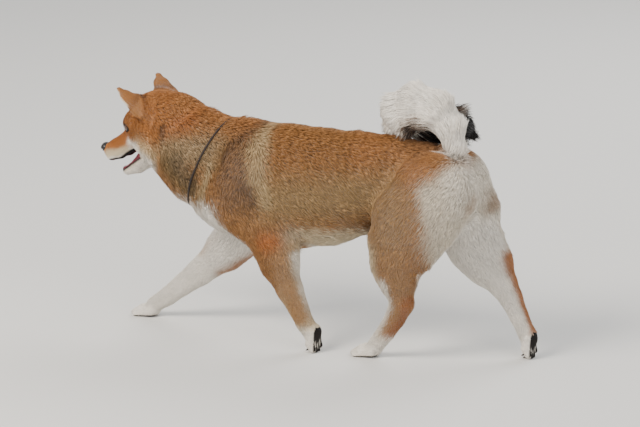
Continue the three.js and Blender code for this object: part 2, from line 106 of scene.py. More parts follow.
def linear(code: str) -> np.ndarray:
    """Turns a six-digit sRGB colour into linear light.

    Args:
        code: Hex digits such as "A56C38".
    Returns:
        Three linear values.
    """
    value = np.array([int(code[i : i + 2], 16) / 255.0 for i in (0, 2, 4)])
    return np.where(value <= 0.04045, value / 12.92, ((value + 0.055) / 1.055) ** 2.4)


def unit(vectors: np.ndarray) -> np.ndarray:
    """Scales vectors to length one.

    Args:
        vectors: One vector per row.
    Returns:
        The same directions with length one.
    """
    return vectors / (np.linalg.norm(vectors, axis=-1, keepdims=True) + 1e-9)


def smooth_min(a: np.ndarray, b: np.ndarray, reach: float) -> np.ndarray:
    """Joins two fields with a fillet.

    Args:
        a: First distances.
        b: Second distances.
        reach: Width of the fillet.
    Returns:
        Distances of the joined form.
    """
    h = np.maximum(reach - np.abs(a - b), 0.0) / reach
    return np.minimum(a, b) - h * h * reach * 0.25


def ramp(value: np.ndarray, low: float, high: float) -> np.ndarray:
    """Rises smoothly from nought to one.

    Args:
        value: Numbers to map.
        low: Where the rise starts.
        high: Where the rise ends, which may be below low.
    Returns:
        Numbers between nought and one.
    """
    t = np.clip((value - low) / (high - low), 0.0, 1.0)
    return t * t * (3.0 - 2.0 * t)


class Limb:
    """A chain of round cones, flattened sideways."""

    def __init__(
        self, stations: Sequence[Sequence[float]], flatten: float = 1.0, blend: float = 0.2
    ) -> None:
        """Stores the chain.

        Args:
            stations: Rows of x, y, z and radius.
            flatten: Width over height.
            blend: Softness of the joints as a share of the radius.
        """
        self.flatten = flatten
        self.parts = []
        for a, b in zip(stations[:-1], stations[1:]):
            span = np.array([b[0] - a[0], (b[1] - a[1]) / flatten, b[2] - a[2]])
            self.parts.append((a, b, span, float(span @ span), blend * min(a[3], b[3])))

    def _reach(self, p: np.ndarray, part: tuple) -> np.ndarray:
        """Measures one cone of the chain.

        Args:
            p: Places to measure.
            part: The cone.
        Returns:
            Signed distances.
        """
        a, b, span, square, _ = part
        x, y, z = p[:, 0] - a[0], (p[:, 1] - a[1]) / self.flatten, p[:, 2] - a[2]
        t = np.clip((x * span[0] + y * span[1] + z * span[2]) / square, 0.0, 1.0)
        x, y, z = x - t * span[0], y - t * span[1], z - t * span[2]
        length = np.sqrt(x * x + y * y + z * z) + 1e-6
        slope = np.sqrt(x * x + (y / self.flatten) ** 2 + z * z) / length
        return (length - (a[3] + t * (b[3] - a[3]))) / np.maximum(slope, 1e-3)

    def __call__(self, p: np.ndarray) -> np.ndarray:
        """Measures the whole chain.

        Args:
            p: Places to measure.
        Returns:
            Signed distances.
        """
        best = self._reach(p, self.parts[0])
        for part in self.parts[1:]:
            best = smooth_min(best, self._reach(p, part), part[4])
        return best

    def tangent(self, p: np.ndarray) -> np.ndarray:
        """Gives the way the chain runs near each place.

        Args:
            p: Places on the body.
        Returns:
            One direction per place, from the first station to the last.
        """
        total = np.zeros_like(p)
        for part in self.parts:
            way = np.array(part[1][:3], float) - np.array(part[0][:3], float)
            near = np.exp(-np.clip(self._reach(p, part), -30.0, 60.0) / 7.0)
            total += near[:, None] * way / np.linalg.norm(way)
        return unit(total)


def ball(centre: Sequence[float], sizes: Sequence[float]) -> Field:
    """Makes an ellipsoid.

    Args:
        centre: Its middle.
        sizes: Its three half axes.
    Returns:
        The field.
    """
    radii = np.array(sizes, float)

    def evaluate(p: np.ndarray) -> np.ndarray:
        """Measures the ellipsoid.

        Args:
            p: Places to measure.
        Returns:
            Distances, exact near the surface only.
        """
        q = (p - np.array(centre)) / radii
        reach = np.linalg.norm(q, axis=1)
        return reach * (reach - 1.0) / (np.linalg.norm(q / radii, axis=1) + 1e-9)

    return evaluate


def blended(reach: float, *fields: Field) -> Field:
    """Joins fields with fillets.

    Args:
        reach: Width of the fillets.
        fields: The forms.
    Returns:
        The joined field.
    """

    def evaluate(p: np.ndarray) -> np.ndarray:
        """Measures the joined form.

        Args:
            p: Places to measure.
        Returns:
            Distances.
        """
        best = fields[0](p)
        for other in fields[1:]:
            best = smooth_min(best, other(p), reach)
        return best

    return evaluate


def hollowed(reach: float, body: Field, cutter: Field) -> Field:
    """Cuts one form out of another.

    Args:
        reach: Roundness of the edge.
        body: What stays.
        cutter: What is taken away.
    Returns:
        The field that is left.
    """
    return lambda p: -smooth_min(-body(p), cutter(p), reach)


def placed(matrix: np.ndarray, form: Field) -> Field:
    """Puts a form into a frame of its own.

    Args:
        matrix: The frame.
        form: The form in that frame.
    Returns:
        The field in the animal's frame.
    """
    inverse = np.linalg.inv(matrix)
    return lambda p: form(p @ inverse[:3, :3].T + inverse[:3, 3])


def both_sides(form: Field) -> Field:
    """Mirrors a form from the left side to the right.

    Args:
        form: A form at negative y.
    Returns:
        The field of the pair.
    """
    return lambda p: form(np.stack([p[:, 0], -np.abs(p[:, 1]), p[:, 2]], axis=1))


def frame_at(
    point: Sequence[float], yaw: float = 0.0, pitch: float = 0.0, roll: float = 0.0
) -> np.ndarray:
    """Makes a turned frame.

    Args:
        point: Its origin.
        yaw: Turn to the animal's right in degrees.
        pitch: Nose-down turn in degrees.
        roll: Turn about its length in degrees.
    Returns:
        A four by four matrix.
    """
    a, b, g = math.radians(-yaw), math.radians(-pitch), math.radians(roll)
    rz = np.array([[math.cos(a), -math.sin(a), 0], [math.sin(a), math.cos(a), 0], [0, 0, 1]])
    ry = np.array([[math.cos(b), 0, math.sin(b)], [0, 1, 0], [-math.sin(b), 0, math.cos(b)]])
    rx = np.array([[1, 0, 0], [0, math.cos(g), -math.sin(g)], [0, math.sin(g), math.cos(g)]])
    matrix = np.eye(4)
    matrix[:3, :3] = rz @ ry @ rx
    matrix[:3, 3] = point
    return matrix


HEAD = frame_at([-323, 31, 350], 14, 15, 5)
PAWS = {
    "fore_left": frame_at([13, -53, 28.5], 0, 90),
    "fore_right": frame_at([-343, 48, 9.5], 0, 4),
    "hind_left": frame_at([110, -43, 9.5], 0, 5),
    "hind_right": frame_at([356, 54, 30.5], 0, 88),
}


def in_frame(matrix: np.ndarray, p: np.ndarray) -> np.ndarray:
    """Gives places in a frame of their own.

    Args:
        matrix: The frame.
        p: Places in the animal's frame.
    Returns:
        The same places as that frame counts them.
    """
    inverse = np.linalg.inv(matrix)
    return p @ inverse[:3, :3].T + inverse[:3, 3]


def out_of(matrix: np.ndarray, p: np.ndarray) -> np.ndarray:
    """Gives places of a frame in the animal's frame.

    Args:
        matrix: The frame.
        p: Places as that frame counts them.
    Returns:
        The same places in the animal's frame.
    """
    return p @ matrix[:3, :3].T + matrix[:3, 3]


@dataclass(frozen=True)
class EyeSize:
    """Sizes of one eye in the head's frame."""

    centre: tuple[float, float, float] = (-40.2, -20.2, -2.2)
    radius: float = 8.8
    outward: tuple[float, float, float] = (-0.60, -0.79, 0.10)
    half_width: float = 8.2
    half_height: float = 5.7


@dataclass(frozen=True)
class EarSize:
    """Place of one ear in the head's frame."""

    base: tuple[float, float, float] = (12.0, 35.0, 25.0)
    axis: tuple[float, float, float] = (-25.0, 19.0, 45.0)
    opening: tuple[float, float, float] = (-0.94, 0.34, 0.0)


def ear_frame(side: int, size: EarSize = EarSize()) -> np.ndarray:
    """Makes the frame of an ear, with z to its tip and -y to its opening.

    Args:
        side: -1 for the left ear and 1 for the right.
        size: The ear's place.
    Returns:
        A four by four matrix.
    """
    turn = np.array([1.0, side, 1.0])
    axis = unit(np.array(size.axis) * turn)
    width = unit(np.cross(axis, np.array(size.opening) * turn))
    own = np.eye(4)
    own[:3, 0], own[:3, 1], own[:3, 2] = width, np.cross(axis, width), axis
    own[:3, 3] = np.array(size.base) * turn
    return HEAD @ own


def eye_frame(side: int, size: EyeSize = EyeSize()) -> np.ndarray:
    """Makes the frame of an eye, with z outward and x along the slit of the lids.

    Args:
        side: -1 for the left eye and 1 for the right.
        size: The eye's sizes.
    Returns:
        A four by four matrix.
    """
    turn = np.array([1.0, -side, 1.0])
    outward = unit(np.array(size.outward) * turn)
    slit = unit(np.cross(np.array([-0.1, 0.0, 1.0]), outward))
    slit = unit(slit - LID_TILT * np.array([0.0, 0.0, 1.0]) * np.sign(slit[0]))
    up = unit(np.cross(outward, slit))
    own = np.eye(4)
    own[:3, 0], own[:3, 1], own[:3, 2] = np.cross(up, outward), up, outward
    own[:3, 3] = np.array(size.centre) * turn
    return HEAD @ own


TRUNK = Limb(
    [[-158, 0, 248, 76], [-110, 0, 269, 101], [-50, 0, 265, 105], [10, 0, 270, 99],
     [70, 0, 282, 87], [130, 0, 288, 80], [190, 0, 286, 74], [226, 0, 284, 60]], 0.73, 0.1,
)
NECK = Limb([[-165, 0, 288, 82], [-222, 6, 306, 79], [-272, 16, 332, 70], [-306, 24, 348, 56]], 0.86, 0.1)
RUFF = Limb([[-236, 4, 262, 44], [-286, 18, 292, 36]], 0.9)
UPPER = {
    "fore_left": Limb([[-112, -42, 300, 50], [-150, -48, 246, 46],
                       [-70, -56, 196, 42], [-52, -57, 160, 33]], 0.74),
    "fore_right": Limb([[-125, 42, 290, 50], [-175, 46, 240, 48],
                        [-150, 52, 180, 42], [-190, 52, 140, 34]], 0.74),
    "hind_left": Limb([[215, -38, 288, 66], [180, -50, 240, 62],
                       [158, -56, 200, 46], [160, -56, 158, 36]], 0.72),
    "hind_right": Limb([[224, 38, 286, 66], [244, 46, 240, 58],
                        [250, 52, 200, 50], [270, 54, 168, 42]], 0.72),
}
LOWER = {
    "fore_left": Limb([[-52, -57, 165, 32], [-46, -57, 138, 29], [-30, -56, 102, 24], [-14, -55, 70, 18.5],
                       [-4, -54, 48, 16.5], [9, -53, 30, 15.5]], 0.74),
    "fore_right": Limb([[-165, 52, 165, 36], [-205, 51, 123, 31], [-248, 50, 86, 24], [-281, 49, 60, 19],
                        [-309, 48, 37, 16.5], [-334, 48, 21, 14.5]], 0.74),
    "hind_left": Limb([[160, -56, 160, 36], [166, -55, 128, 26], [171, -54, 100, 22], [158, -51, 72, 18],
                       [140, -47, 45, 16], [122, -44, 22, 15]], 0.76),
    "hind_right": Limb([[262, 54, 176, 44], [286, 55, 148, 36], [304, 55, 124, 27], [320, 55, 100, 21],
                        [335, 55, 70, 17], [348, 55, 44, 15.5], [354, 54, 30, 15]], 0.76),
}
HAUNCH = Limb([[232, -36, 280, 56], [222, -44, 240, 48], [196, -54, 186, 36]], 0.72)
TAIL = Limb(
    [[216, 0, 322, 28], [240, -2, 352, 25], [234, -4, 392, 28], [210, -6, 420, 34], [172, -6, 427, 35],
     [143, -3, 410, 34], [134, 12, 390, 27], [156, 36, 378, 22], [196, 54, 382, 25], [226, 61, 380, 24],
     [242, 65, 366, 13]], 0.9, 0.3,
)
EAR_FORM = hollowed(2, Limb([[0, 2, -12, 26], [0, 1, 8, 24], [0, 0, 32, 16], [0, 1, 49, 7]], 0.56, 0.1),
                    Limb([[0, -14, 4, 16], [0, -12, 24, 11]], 0.75, 0.1))
CRANIUM = blended(
    12, ball([12, 0, -4], [50, 44, 49]), ball([-24, 0, 0], [33, 30, 31]),
    both_sides(Limb([[-47, -12, 5, 9], [-34, -20, 9, 11]])),
    both_sides(ball([9, -33, -25], [35, 26, 31])),
    Limb([[10, 0, -24, 44], [46, 0, -14, 50]]),
)
MUZZLE = blended(
    6, Limb([[-44, 0, -22, 25], [-72, 0, -29, 17.5], [-98, 0, -33, 14], [-116, 0, -37, 12.5]], 0.98, 0.15),
    both_sides(Limb([[-52, -15, -33, 12], [-84, -11, -43, 11.5], [-110, -6, -45, 10.5]], 0.9)),
)
JAW = blended(
    6, Limb([[8, 0, -44, 28], [-32, 0, -60, 19], [-62, 0, -73, 13.5], [-89, 0, -77, 9]], 0.98),
    both_sides(Limb([[-30, -15, -56, 10], [-60, -9, -68, 8], [-84, -4, -74, 7]], 0.9)),
)
MOUTH = Limb([[-40, 0, -51, 8], [-66, 0, -61, 7], [-86, 0, -69, 4.5]], 1.3)
TONGUE = Limb([[-44, 0, -58, 4.6], [-66, 0, -67, 4.2], [-86, 0, -74, 3]], 1.7)
TOES = [(-13.8, 21.0), (-4.6, 27.0), (4.6, 27.0), (13.8, 21.0)]


def paw_form() -> Field:
    """Makes a paw of four toes in its own frame.

    Returns:
        The field.
    """
    each = [
        Limb([[4, y * 0.8, 0, 9], [-0.55 * r, y, 1.5, 8.6], [-r, y * 1.05, -3, 6.6]], 0.86) for y, r in TOES
    ]
    return blended(3, ball([4, 0, 0], [14, 17, 12]), *each)


EARS = [placed(ear_frame(side), EAR_FORM) for side in SIDES]
HEAD_FORM = placed(HEAD, blended(12, CRANIUM, hollowed(3, blended(10, MUZZLE, JAW), MOUTH)))
LEG_FORMS = [
    blended(26, UPPER[leg], *([HAUNCH] if leg == "hind_left" else []), LOWER[leg]) for leg in UPPER
]
PAW_FORMS = [placed(frame, paw_form()) for frame in PAWS.values()]
BODY = blended(8, blended(22, blended(34, TRUNK, NECK), *LEG_FORMS), *PAW_FORMS)
OUTLINE = blended(18, BODY, blended(20, blended(6, HEAD_FORM, *EARS), RUFF))


class Piece(Enum):
    """Parts of the coat that are meshes of their own."""

    HEAD = "head"
    EARS = "ears"
    NECK = "neck"
    TRUNK = "trunk"
    THIGHS = "thighs"
    LEGS = "legs"
    TAIL = "tail"


@dataclass(frozen=True)
class Hair:
    """How the coat lies in one region, in millimetres."""

    depth: float
    length: float
    width: float
    density: float


@dataclass(frozen=True)
class Region:
    """A part of the body with its own hair and lie."""

    piece: Piece
    form: Field
    hair: Hair
    lie: Lie


def steady(way: np.ndarray) -> Lie:
    """Makes a lie that is the same all over.

    Args:
        way: The direction.
    Returns:
        A function of places and normals.
    """
    return lambda p, n: np.tile(unit(way), (len(p), 1))


def along(chain: Limb) -> Lie:
    """Makes a lie that follows a limb from root to paw.

    Args:
        chain: The limb.
    Returns:
        A function of places and normals.
    """
    return lambda p, n: chain.tangent(p)


def trunk_lie(p: np.ndarray, n: np.ndarray) -> np.ndarray:
    """Lays the trunk's hair backwards and a little down the flanks.

    Args:
        p: Places.
        n: Normals there.
    Returns:
        Directions.
    """
    down = 0.12 + 0.42 * np.abs(n[:, 1])
    front = ramp(p[:, 0], -120.0, -200.0)
    return unit(np.stack([1.0 - 0.7 * front, 0.25 * n[:, 1], -down - 1.1 * front], axis=1))


def neck_lie(p: np.ndarray, n: np.ndarray) -> np.ndarray:
    """Lays the neck's hair from the head to the shoulders and down the throat.

    Args:
        p: Places.
        n: Normals there.
    Returns:
        Directions.
    """
    way = -NECK.tangent(p)
    way[:, 2] -= 0.25 + 0.6 * ramp(n[:, 2], 0.2, -0.8)
    return unit(way)


def cheek_lie(p: np.ndarray, n: np.ndarray) -> np.ndarray:
    """Lays the head's hair back from the face and out over the cheeks.

    Args:
        p: Places.
        n: Normals there.
    Returns:
        Directions.
    """
    h = in_frame(HEAD, p)
    way = np.stack([np.ones(len(p)), 0.25 * np.sign(h[:, 1]), -0.45 * ramp(h[:, 2], 5.0, -35.0)], axis=1)
    return unit(way) @ HEAD[:3, :3].T


def tail_lie(p: np.ndarray, n: np.ndarray) -> np.ndarray:
    """Lays the tail's hair along it and outward.

    Args:
        p: Places.
        n: Normals there.
    Returns:
        Directions.
    """
    return unit(TAIL.tangent(p) + 0.15 * n)


def ear_lie(side: int) -> Lie:
    """Makes the lie of an ear's hair, from base to tip.

    Args:
        side: -1 for the left ear and 1 for the right.
    Returns:
        A function of places and normals.
    """
    return steady(ear_frame(side)[:3, 2])


def regions() -> list[Region]:
    """Lists the regions of the body.

    Returns:
        The regions with their hair.
    """
    listed = [
        Region(Piece.TRUNK, TRUNK, Hair(6.5, 20.0, 1.7, 0.26), trunk_lie),
        Region(Piece.NECK, NECK, Hair(9.0, 22.0, 1.8, 0.28), neck_lie),
        Region(Piece.NECK, RUFF, Hair(8.0, 18.0, 1.6, 0.3), neck_lie),
        Region(Piece.HEAD, placed(HEAD, CRANIUM), Hair(2.8, 7.0, 0.85, 0.8), cheek_lie),
        Region(Piece.HEAD, placed(HEAD, MUZZLE), Hair(0.9, 3.4, 0.65, 1.2), steady(HEAD[:3, 0])),
        Region(Piece.HEAD, placed(HEAD, JAW), Hair(1.1, 4.4, 0.7, 1.0), steady(HEAD[:3, 0])),
        Region(Piece.TAIL, TAIL, Hair(9.5, 25.0, 1.6, 0.55), tail_lie),
    ]
    for side, form in zip(SIDES, EARS):
        listed.append(Region(Piece.EARS, form, Hair(0.7, 3.0, 0.7, 1.1), ear_lie(side)))
    for leg, frame in PAWS.items():
        for chain in [UPPER[leg]] + ([HAUNCH] if leg == "hind_left" else []):
            listed.append(Region(Piece.THIGHS, chain, Hair(6.0, 17.0, 1.6, 0.3), along(chain)))
        listed.append(Region(Piece.LEGS, LOWER[leg], Hair(2.4, 8.0, 1.1, 0.55), along(LOWER[leg])))
        paw = placed(frame, paw_form())
        listed.append(Region(Piece.LEGS, paw, Hair(0.9, 2.8, 0.8, 1.0), steady(-frame[:3, 0])))
    return listed


class Pelt:
    """Blends what the regions say at any place."""

    def __init__(self) -> None:
        """Lists the regions."""
        self.regions = regions()

    def weights(self, p: np.ndarray) -> np.ndarray:
        """Shares each place out over the regions.

        Args:
            p: Places.
        Returns:
            One row of shares per place.
        """
        reach = np.stack([np.clip(region.form(p), -14.0, 200.0) for region in self.regions], axis=1)
        near = np.exp(-(reach - reach.min(axis=1, keepdims=True)) / 5.0)
        return near / near.sum(axis=1, keepdims=True)

    def hair(self, share: np.ndarray) -> dict[str, np.ndarray]:
        """Blends the sizes of the hair.

        Args:
            share: The rows of weights().
        Returns:
            Depth, length, width and density by name.
        """
        return {
            name: share @ np.array([getattr(region.hair, name) for region in self.regions])
            for name in ("depth", "length", "width", "density")
        }

    def lie(self, p: np.ndarray, n: np.ndarray, share: np.ndarray) -> np.ndarray:
        """Blends the lie of the hair and keeps it along the skin.

        Args:
            p: Places.
            n: Normals there.
            share: The rows of weights().
        Returns:
            Directions along the skin.
        """
        way = np.zeros_like(p)
        for column, region in enumerate(self.regions):
            way += share[:, column : column + 1] * region.lie(p, n)
        way -= (way * n).sum(axis=1, keepdims=True) * n
        return unit(way)


class SkinForm:
    """The field of the skin, which lies inside the outline by the coat's depth."""

    def __init__(self, pelt: Pelt) -> None:
        """Prepares the lids.

        Args:
            pelt: The coat's regions.
        """
        self.pelt = pelt
        size = EyeSize()
        bulge = [placed(eye_frame(side), ball([0, 0, -0.6], [size.radius + 1.5] * 3)) for side in SIDES]
        opening = ball([0, 0, 9.5], [size.half_width, size.half_height, 9.5])
        slit = [placed(eye_frame(side), opening) for side in SIDES]
        self.bulges = blended(1.0, *bulge)
        self.slits = blended(1.0, *slit)

    def __call__(self, p: np.ndarray) -> np.ndarray:
        """Measures the skin.

        Args:
            p: Places.
        Returns:
            Distances that are nought on the skin.
        """
        depth = self.pelt.hair(self.pelt.weights(p))["depth"]
        body = smooth_min(OUTLINE(p), TAIL(p) + 2.0, 6.0) + depth
        head = in_frame(HEAD, p)
        at_face = (np.abs(head - LIDS_MIDDLE_MM) < LIDS_REACH_MM).all(axis=1)
        if at_face.any():
            near = p[at_face]
            lids = smooth_min(body[at_face], self.bulges(near), 5.0)
            body[at_face] = -smooth_min(-lids, self.slits(near), 1.2)
        return body


def gradient(form: Field, p: np.ndarray, step: float = 0.4) -> np.ndarray:
    """Measures how fast a field rises.

    Args:
        form: The field.
        p: Places.
        step: Distance between the two samples of each axis.
    Returns:
        One vector per place.
    """
    columns = []
    for axis in range(3):
        offset = np.zeros(3)
        offset[axis] = step / 2
        columns.append((form(p + offset) - form(p - offset)) / step)
    return np.stack(columns, axis=1)


def settle(form: Field, p: np.ndarray, rounds: int = 2) -> np.ndarray:
    """Moves points onto a field's surface.

    Args:
        form: The field.
        p: Points close to it.
        rounds: How often the move is made.
    Returns:
        The moved points.
    """
    for _ in range(rounds):
        slope = gradient(form, p)
        move = form(p)[:, None] * slope / ((slope * slope).sum(axis=1, keepdims=True) + 1e-6)
        p = p - np.clip(move, -1.5, 1.5)
    return p


class Net:
    """Meshes the surface of a field in cells of one size, testing coarse blocks of BLOCK cells first."""

    BLOCK = 4

    def __init__(self, low: Sequence[float], high: Sequence[float], cell: float) -> None:
        """Stores the grid.

        Args:
            low: Lower corner.
            high: Upper corner.
            cell: Width of a cell.
        """
        self.low = np.array(low, float)
        self.cell = cell
        self.count = (np.ceil((np.array(high) - self.low) / (cell * self.BLOCK)).astype(int)) * self.BLOCK

    def _values(self, form: Field) -> np.ndarray:
        """Measures the field near its surface only.

        Args:
            form: The field.
        Returns:
            Values at the grid's points.
        """
        shape = self.count + 1
        coarse = self.count // self.BLOCK
        blocks = np.meshgrid(*[np.arange(c) for c in coarse], indexing="ij")
        centres = np.stack(blocks, axis=-1).reshape(-1, 3)
        reach = form(self.low + (centres + 0.5) * self.BLOCK * self.cell)
        near = np.abs(reach) < self.BLOCK * self.cell * 1.5
        values = reach.reshape(coarse)
        for axis in range(3):
            values = np.repeat(values, self.BLOCK, axis)
        values = np.pad(values, ((0, 1), (0, 1), (0, 1)), mode="edge").astype(np.float64)
        wanted = np.zeros(shape, bool)
        steps = np.arange(self.BLOCK + 1)
        offsets = np.stack(np.meshgrid(steps, steps, steps, indexing="ij"), axis=-1).reshape(-1, 3)
        index = (centres[near][:, None, :] * self.BLOCK + offsets[None]).reshape(-1, 3)
        wanted[index[:, 0], index[:, 1], index[:, 2]] = True
        places = np.argwhere(wanted)
        measured = np.concatenate([form(self.low + part * self.cell) for part in np.array_split(places, 12)])
        values[wanted] = measured
        return values

    def mesh(self, form: Field) -> tuple[np.ndarray, np.ndarray]:
        """Makes the surface.

        Args:
            form: The field.
        Returns:
            Vertices and quads.
        """
        values = self._values(form)
        inside = values < 0
        total = np.zeros(tuple(self.count) + (3,))
        hits = np.zeros(tuple(self.count))
        n = self.count
        crossings = []
        for axis in range(3):
            a = [slice(0, n[k] + 1) for k in range(3)]
            b = list(a)
            a[axis] = slice(0, n[axis])
            b[axis] = slice(1, n[axis] + 1)
            cross = inside[tuple(a)] != inside[tuple(b)]
            at = np.argwhere(cross)
            va, vb = values[tuple(a)][cross], values[tuple(b)][cross]
            points = at.astype(float)
            points[:, axis] += va / (va - vb)
            others = [k for k in range(3) if k != axis]
            for i in (-1, 0):
                for j in (-1, 0):
                    cells = at.copy()
                    cells[:, others[0]] += i
                    cells[:, others[1]] += j
                    ok = ((cells >= 0) & (cells < n)).all(axis=1)
                    cells = cells[ok]
                    np.add.at(total, (cells[:, 0], cells[:, 1], cells[:, 2]), points[ok])
                    np.add.at(hits, (cells[:, 0], cells[:, 1], cells[:, 2]), 1)
            crossings.append((axis, others, at, va < 0))
        used = hits > 0
        index = np.full(tuple(n), -1)
        index[used] = np.arange(used.sum())
        vertices = self.low + total[used] / hits[used][:, None] * self.cell
        quads = []
        for axis, others, at, rising in crossings:
            ok = (at[:, others[0]] > 0) & (at[:, others[1]] > 0)
            ok &= (at[:, others[0]] < n[others[0]]) & (at[:, others[1]] < n[others[1]])
            at, rising = at[ok], rising[ok]
            corner = []
            for i, j in ((-1, -1), (0, -1), (0, 0), (-1, 0)):
                cells = at.copy()
                cells[:, others[0]] += i
                cells[:, others[1]] += j
                corner.append(index[cells[:, 0], cells[:, 1], cells[:, 2]])
            quad = np.stack(corner, axis=1)
            flip = rising if axis == 1 else ~rising
            quad[flip] = quad[flip][:, ::-1]
            quads.append(quad)
        return vertices, np.concatenate(quads)


def mesh_object(name: str, points: np.ndarray, faces: Sequence) -> bpy.types.Object:
    """Makes a smooth-shaded object from points and faces.

    Args:
        name: Its name.
        points: Places in the animal's frame in millimetres.
        faces: Rows of vertex numbers.
    Returns:
        The linked object.
    """
    faces = np.asarray(faces)
    mesh = bpy.data.meshes.new(name)
    mesh.vertices.add(len(points))
    mesh.vertices.foreach_set("co", to_frame(points).ravel())
    mesh.loops.add(faces.size)
    mesh.loops.foreach_set("vertex_index", faces.ravel())
    mesh.polygons.add(len(faces))
    mesh.polygons.foreach_set("loop_start", np.arange(0, faces.size, faces.shape[1]))
    mesh.update(calc_edges=True)
    mesh.polygons.foreach_set("use_smooth", np.full(len(faces), True))
    mesh.update()
    piece = bpy.data.objects.new(name, mesh)
    bpy.context.collection.objects.link(piece)
    return piece


def points_of(piece: bpy.types.Object) -> np.ndarray:
    """Reads an object's vertices.

    Args:
        piece: The object.
    Returns:
        Places in the animal's frame in millimetres.
    """
    flat = np.empty(len(piece.data.vertices) * 3)
    piece.data.vertices.foreach_get("co", flat)
    return flat.reshape(-1, 3) * 1000.0 + SHIFT_MM


def normals_of(piece: bpy.types.Object) -> np.ndarray:
    """Reads an object's vertex normals.

    Args:
        piece: The object.
    Returns:
        One normal per vertex.
    """
    flat = np.empty(len(piece.data.vertices) * 3)
    piece.data.vertex_normals.foreach_get("vector", flat)
    return flat.reshape(-1, 3)


def paint(piece: bpy.types.Object, name: str, values: np.ndarray) -> None:
    """Stores numbers or colours on an object's vertices.

    Args:
        piece: The object.
        name: The attribute's name.
        values: One number or one colour per vertex.
    """
    if values.ndim == 1:
        attribute = piece.data.attributes.new(name, "FLOAT", "POINT")
        attribute.data.foreach_set("value", values.astype(np.float32))
        return
    full = np.concatenate([values, np.ones((len(values), 1))], axis=1)
    attribute = piece.data.color_attributes.new(name, "FLOAT_COLOR", "POINT")
    attribute.data.foreach_set("color", full.astype(np.float32).ravel())


@dataclass(frozen=True)
class Stroke:
    """A band of colour along a line over the body, given as places in millimetres."""

    colour: str
    line: tuple[tuple[float, float], ...]
    radius: float
    strength: float = 1.0
    side: int = 0


BODY_STROKES = (
    Stroke("B07C46", ((-70, 372), (20, 372), (120, 368)), 26, 0.8),
    Stroke("94622F", ((-63, 340), (20, 346), (116, 350)), 40, 0.8),
    Stroke("9A8258", ((-60, 262), (20, 268), (104, 282)), 36, 0.65),
    Stroke("A56C38", ((-300, 392), (-240, 376), (-180, 374), (-110, 376)), 26, 0.9),
    Stroke("A08A68", ((-268, 328), (-181, 326)), 24, 0.75),
    Stroke("7A6644", ((-262, 300), (-236, 272), (-214, 262)), 19, 0.75),
    Stroke("A85F28", ((-268, 356), (-240, 366)), 15, 0.5),
    Stroke("6B5A42", ((-246, 306), (-211, 276)), 17, 0.65),
    Stroke("7D5A38", ((-130, 330), (-122, 290), (-110, 255)), 24, 0.75),
    # Painted shade: a dark line in the crease between neck and shoulder, down the shoulder's front edge.
    Stroke("4A3626", ((-109, 369), (-119, 359), (-131, 344), (-144, 326)), 8, 0.5),
    Stroke("5E4630", ((-108, 347), (-101, 304), (-96, 258)), 9, 0.55),
    Stroke("B59A70", ((-99, 358), (-86, 334), (-83, 297), (-75, 255)), 11, 0.85),
    Stroke("B9A27A", ((-178, 306), (-182, 280), (-188, 254)), 8, 0.7),
    Stroke("8A6A42", ((-170, 318), (-162, 334)), 14, 0.6),
    Stroke("9C7A50", ((141, 322), (166, 290), (172, 250), (160, 225)), 40, 0.85),
    Stroke("A56C38", ((90, 350), (170, 352), (215, 330)), 26, 0.7),
    Stroke("5A4432", ((148, 372), (200, 356)), 14, 0.5),
    Stroke("B3682F", ((-66, 192), (-34, 182)), 17, 0.8),
    Stroke("D8CCB8", ((236, 300), (246, 250), (246, 196)), 20, 0.95),
    Stroke("E4DACA", ((268, 330), (284, 284)), 14, 0.9),
    Stroke("8E6238", ((289, 262), (292, 296)), 7, 0.6),
    Stroke("F1EADF", ((-178, 232), (-168, 196), (-160, 160)), 14, 0.95),
)
LEG_STROKES = (
    Stroke("A97C4C", ((-40, 165), (-34, 130), (-20, 90), (-12, 64)), 20, 0.9, -1),
    Stroke("EEE6D8", ((-18, 170), (-4, 108), (14, 66)), 7, 0.9, -1),
    Stroke("A57B4C", ((170, 190), (174, 140), (172, 100), (152, 66)), 22, 0.85, -1),
    Stroke("EFE7DA", ((145, 140), (150, 96), (132, 60), (118, 40)), 9, 0.9, -1),
    Stroke("9C5B2C", ((186, 112), (176, 74), (152, 44)), 8, 0.7, -1),
    Stroke("A86C38", ((-140, 128), (-200, 100)), 12, 0.85, 1),
    Stroke("B08458", ((-196, 158), (-232, 124)), 8, 0.6, 1),
    Stroke("A86832", ((316, 176), (335, 124), (350, 82), (364, 52)), 11, 0.95, 1),
)
HEAD_STROKES = (
    Stroke("A5652F", ((-118, -22), (-60, -12), (-36, 10)), 13, 1.0),
    Stroke("A86C36", ((-40, 22), (0, 40), (50, 44)), 26, 1.0),
    Stroke("C9AE84", ((0, -30), (30, -42)), 15, 0.8),
    Stroke("C9B998", ((-112, -40), (-84, -42), (-58, -38)), 6, 0.85),
    Stroke("F2EBDF", ((-44, -28), (-28, -26), (-12, -32)), 9, 0.95),
    Stroke("8A5A30", ((-20, -2), (10, -14)), 9, 0.5),
    Stroke("4E3420", ((57, -4), (54, -24), (50, -46)), 6, 0.85),
)


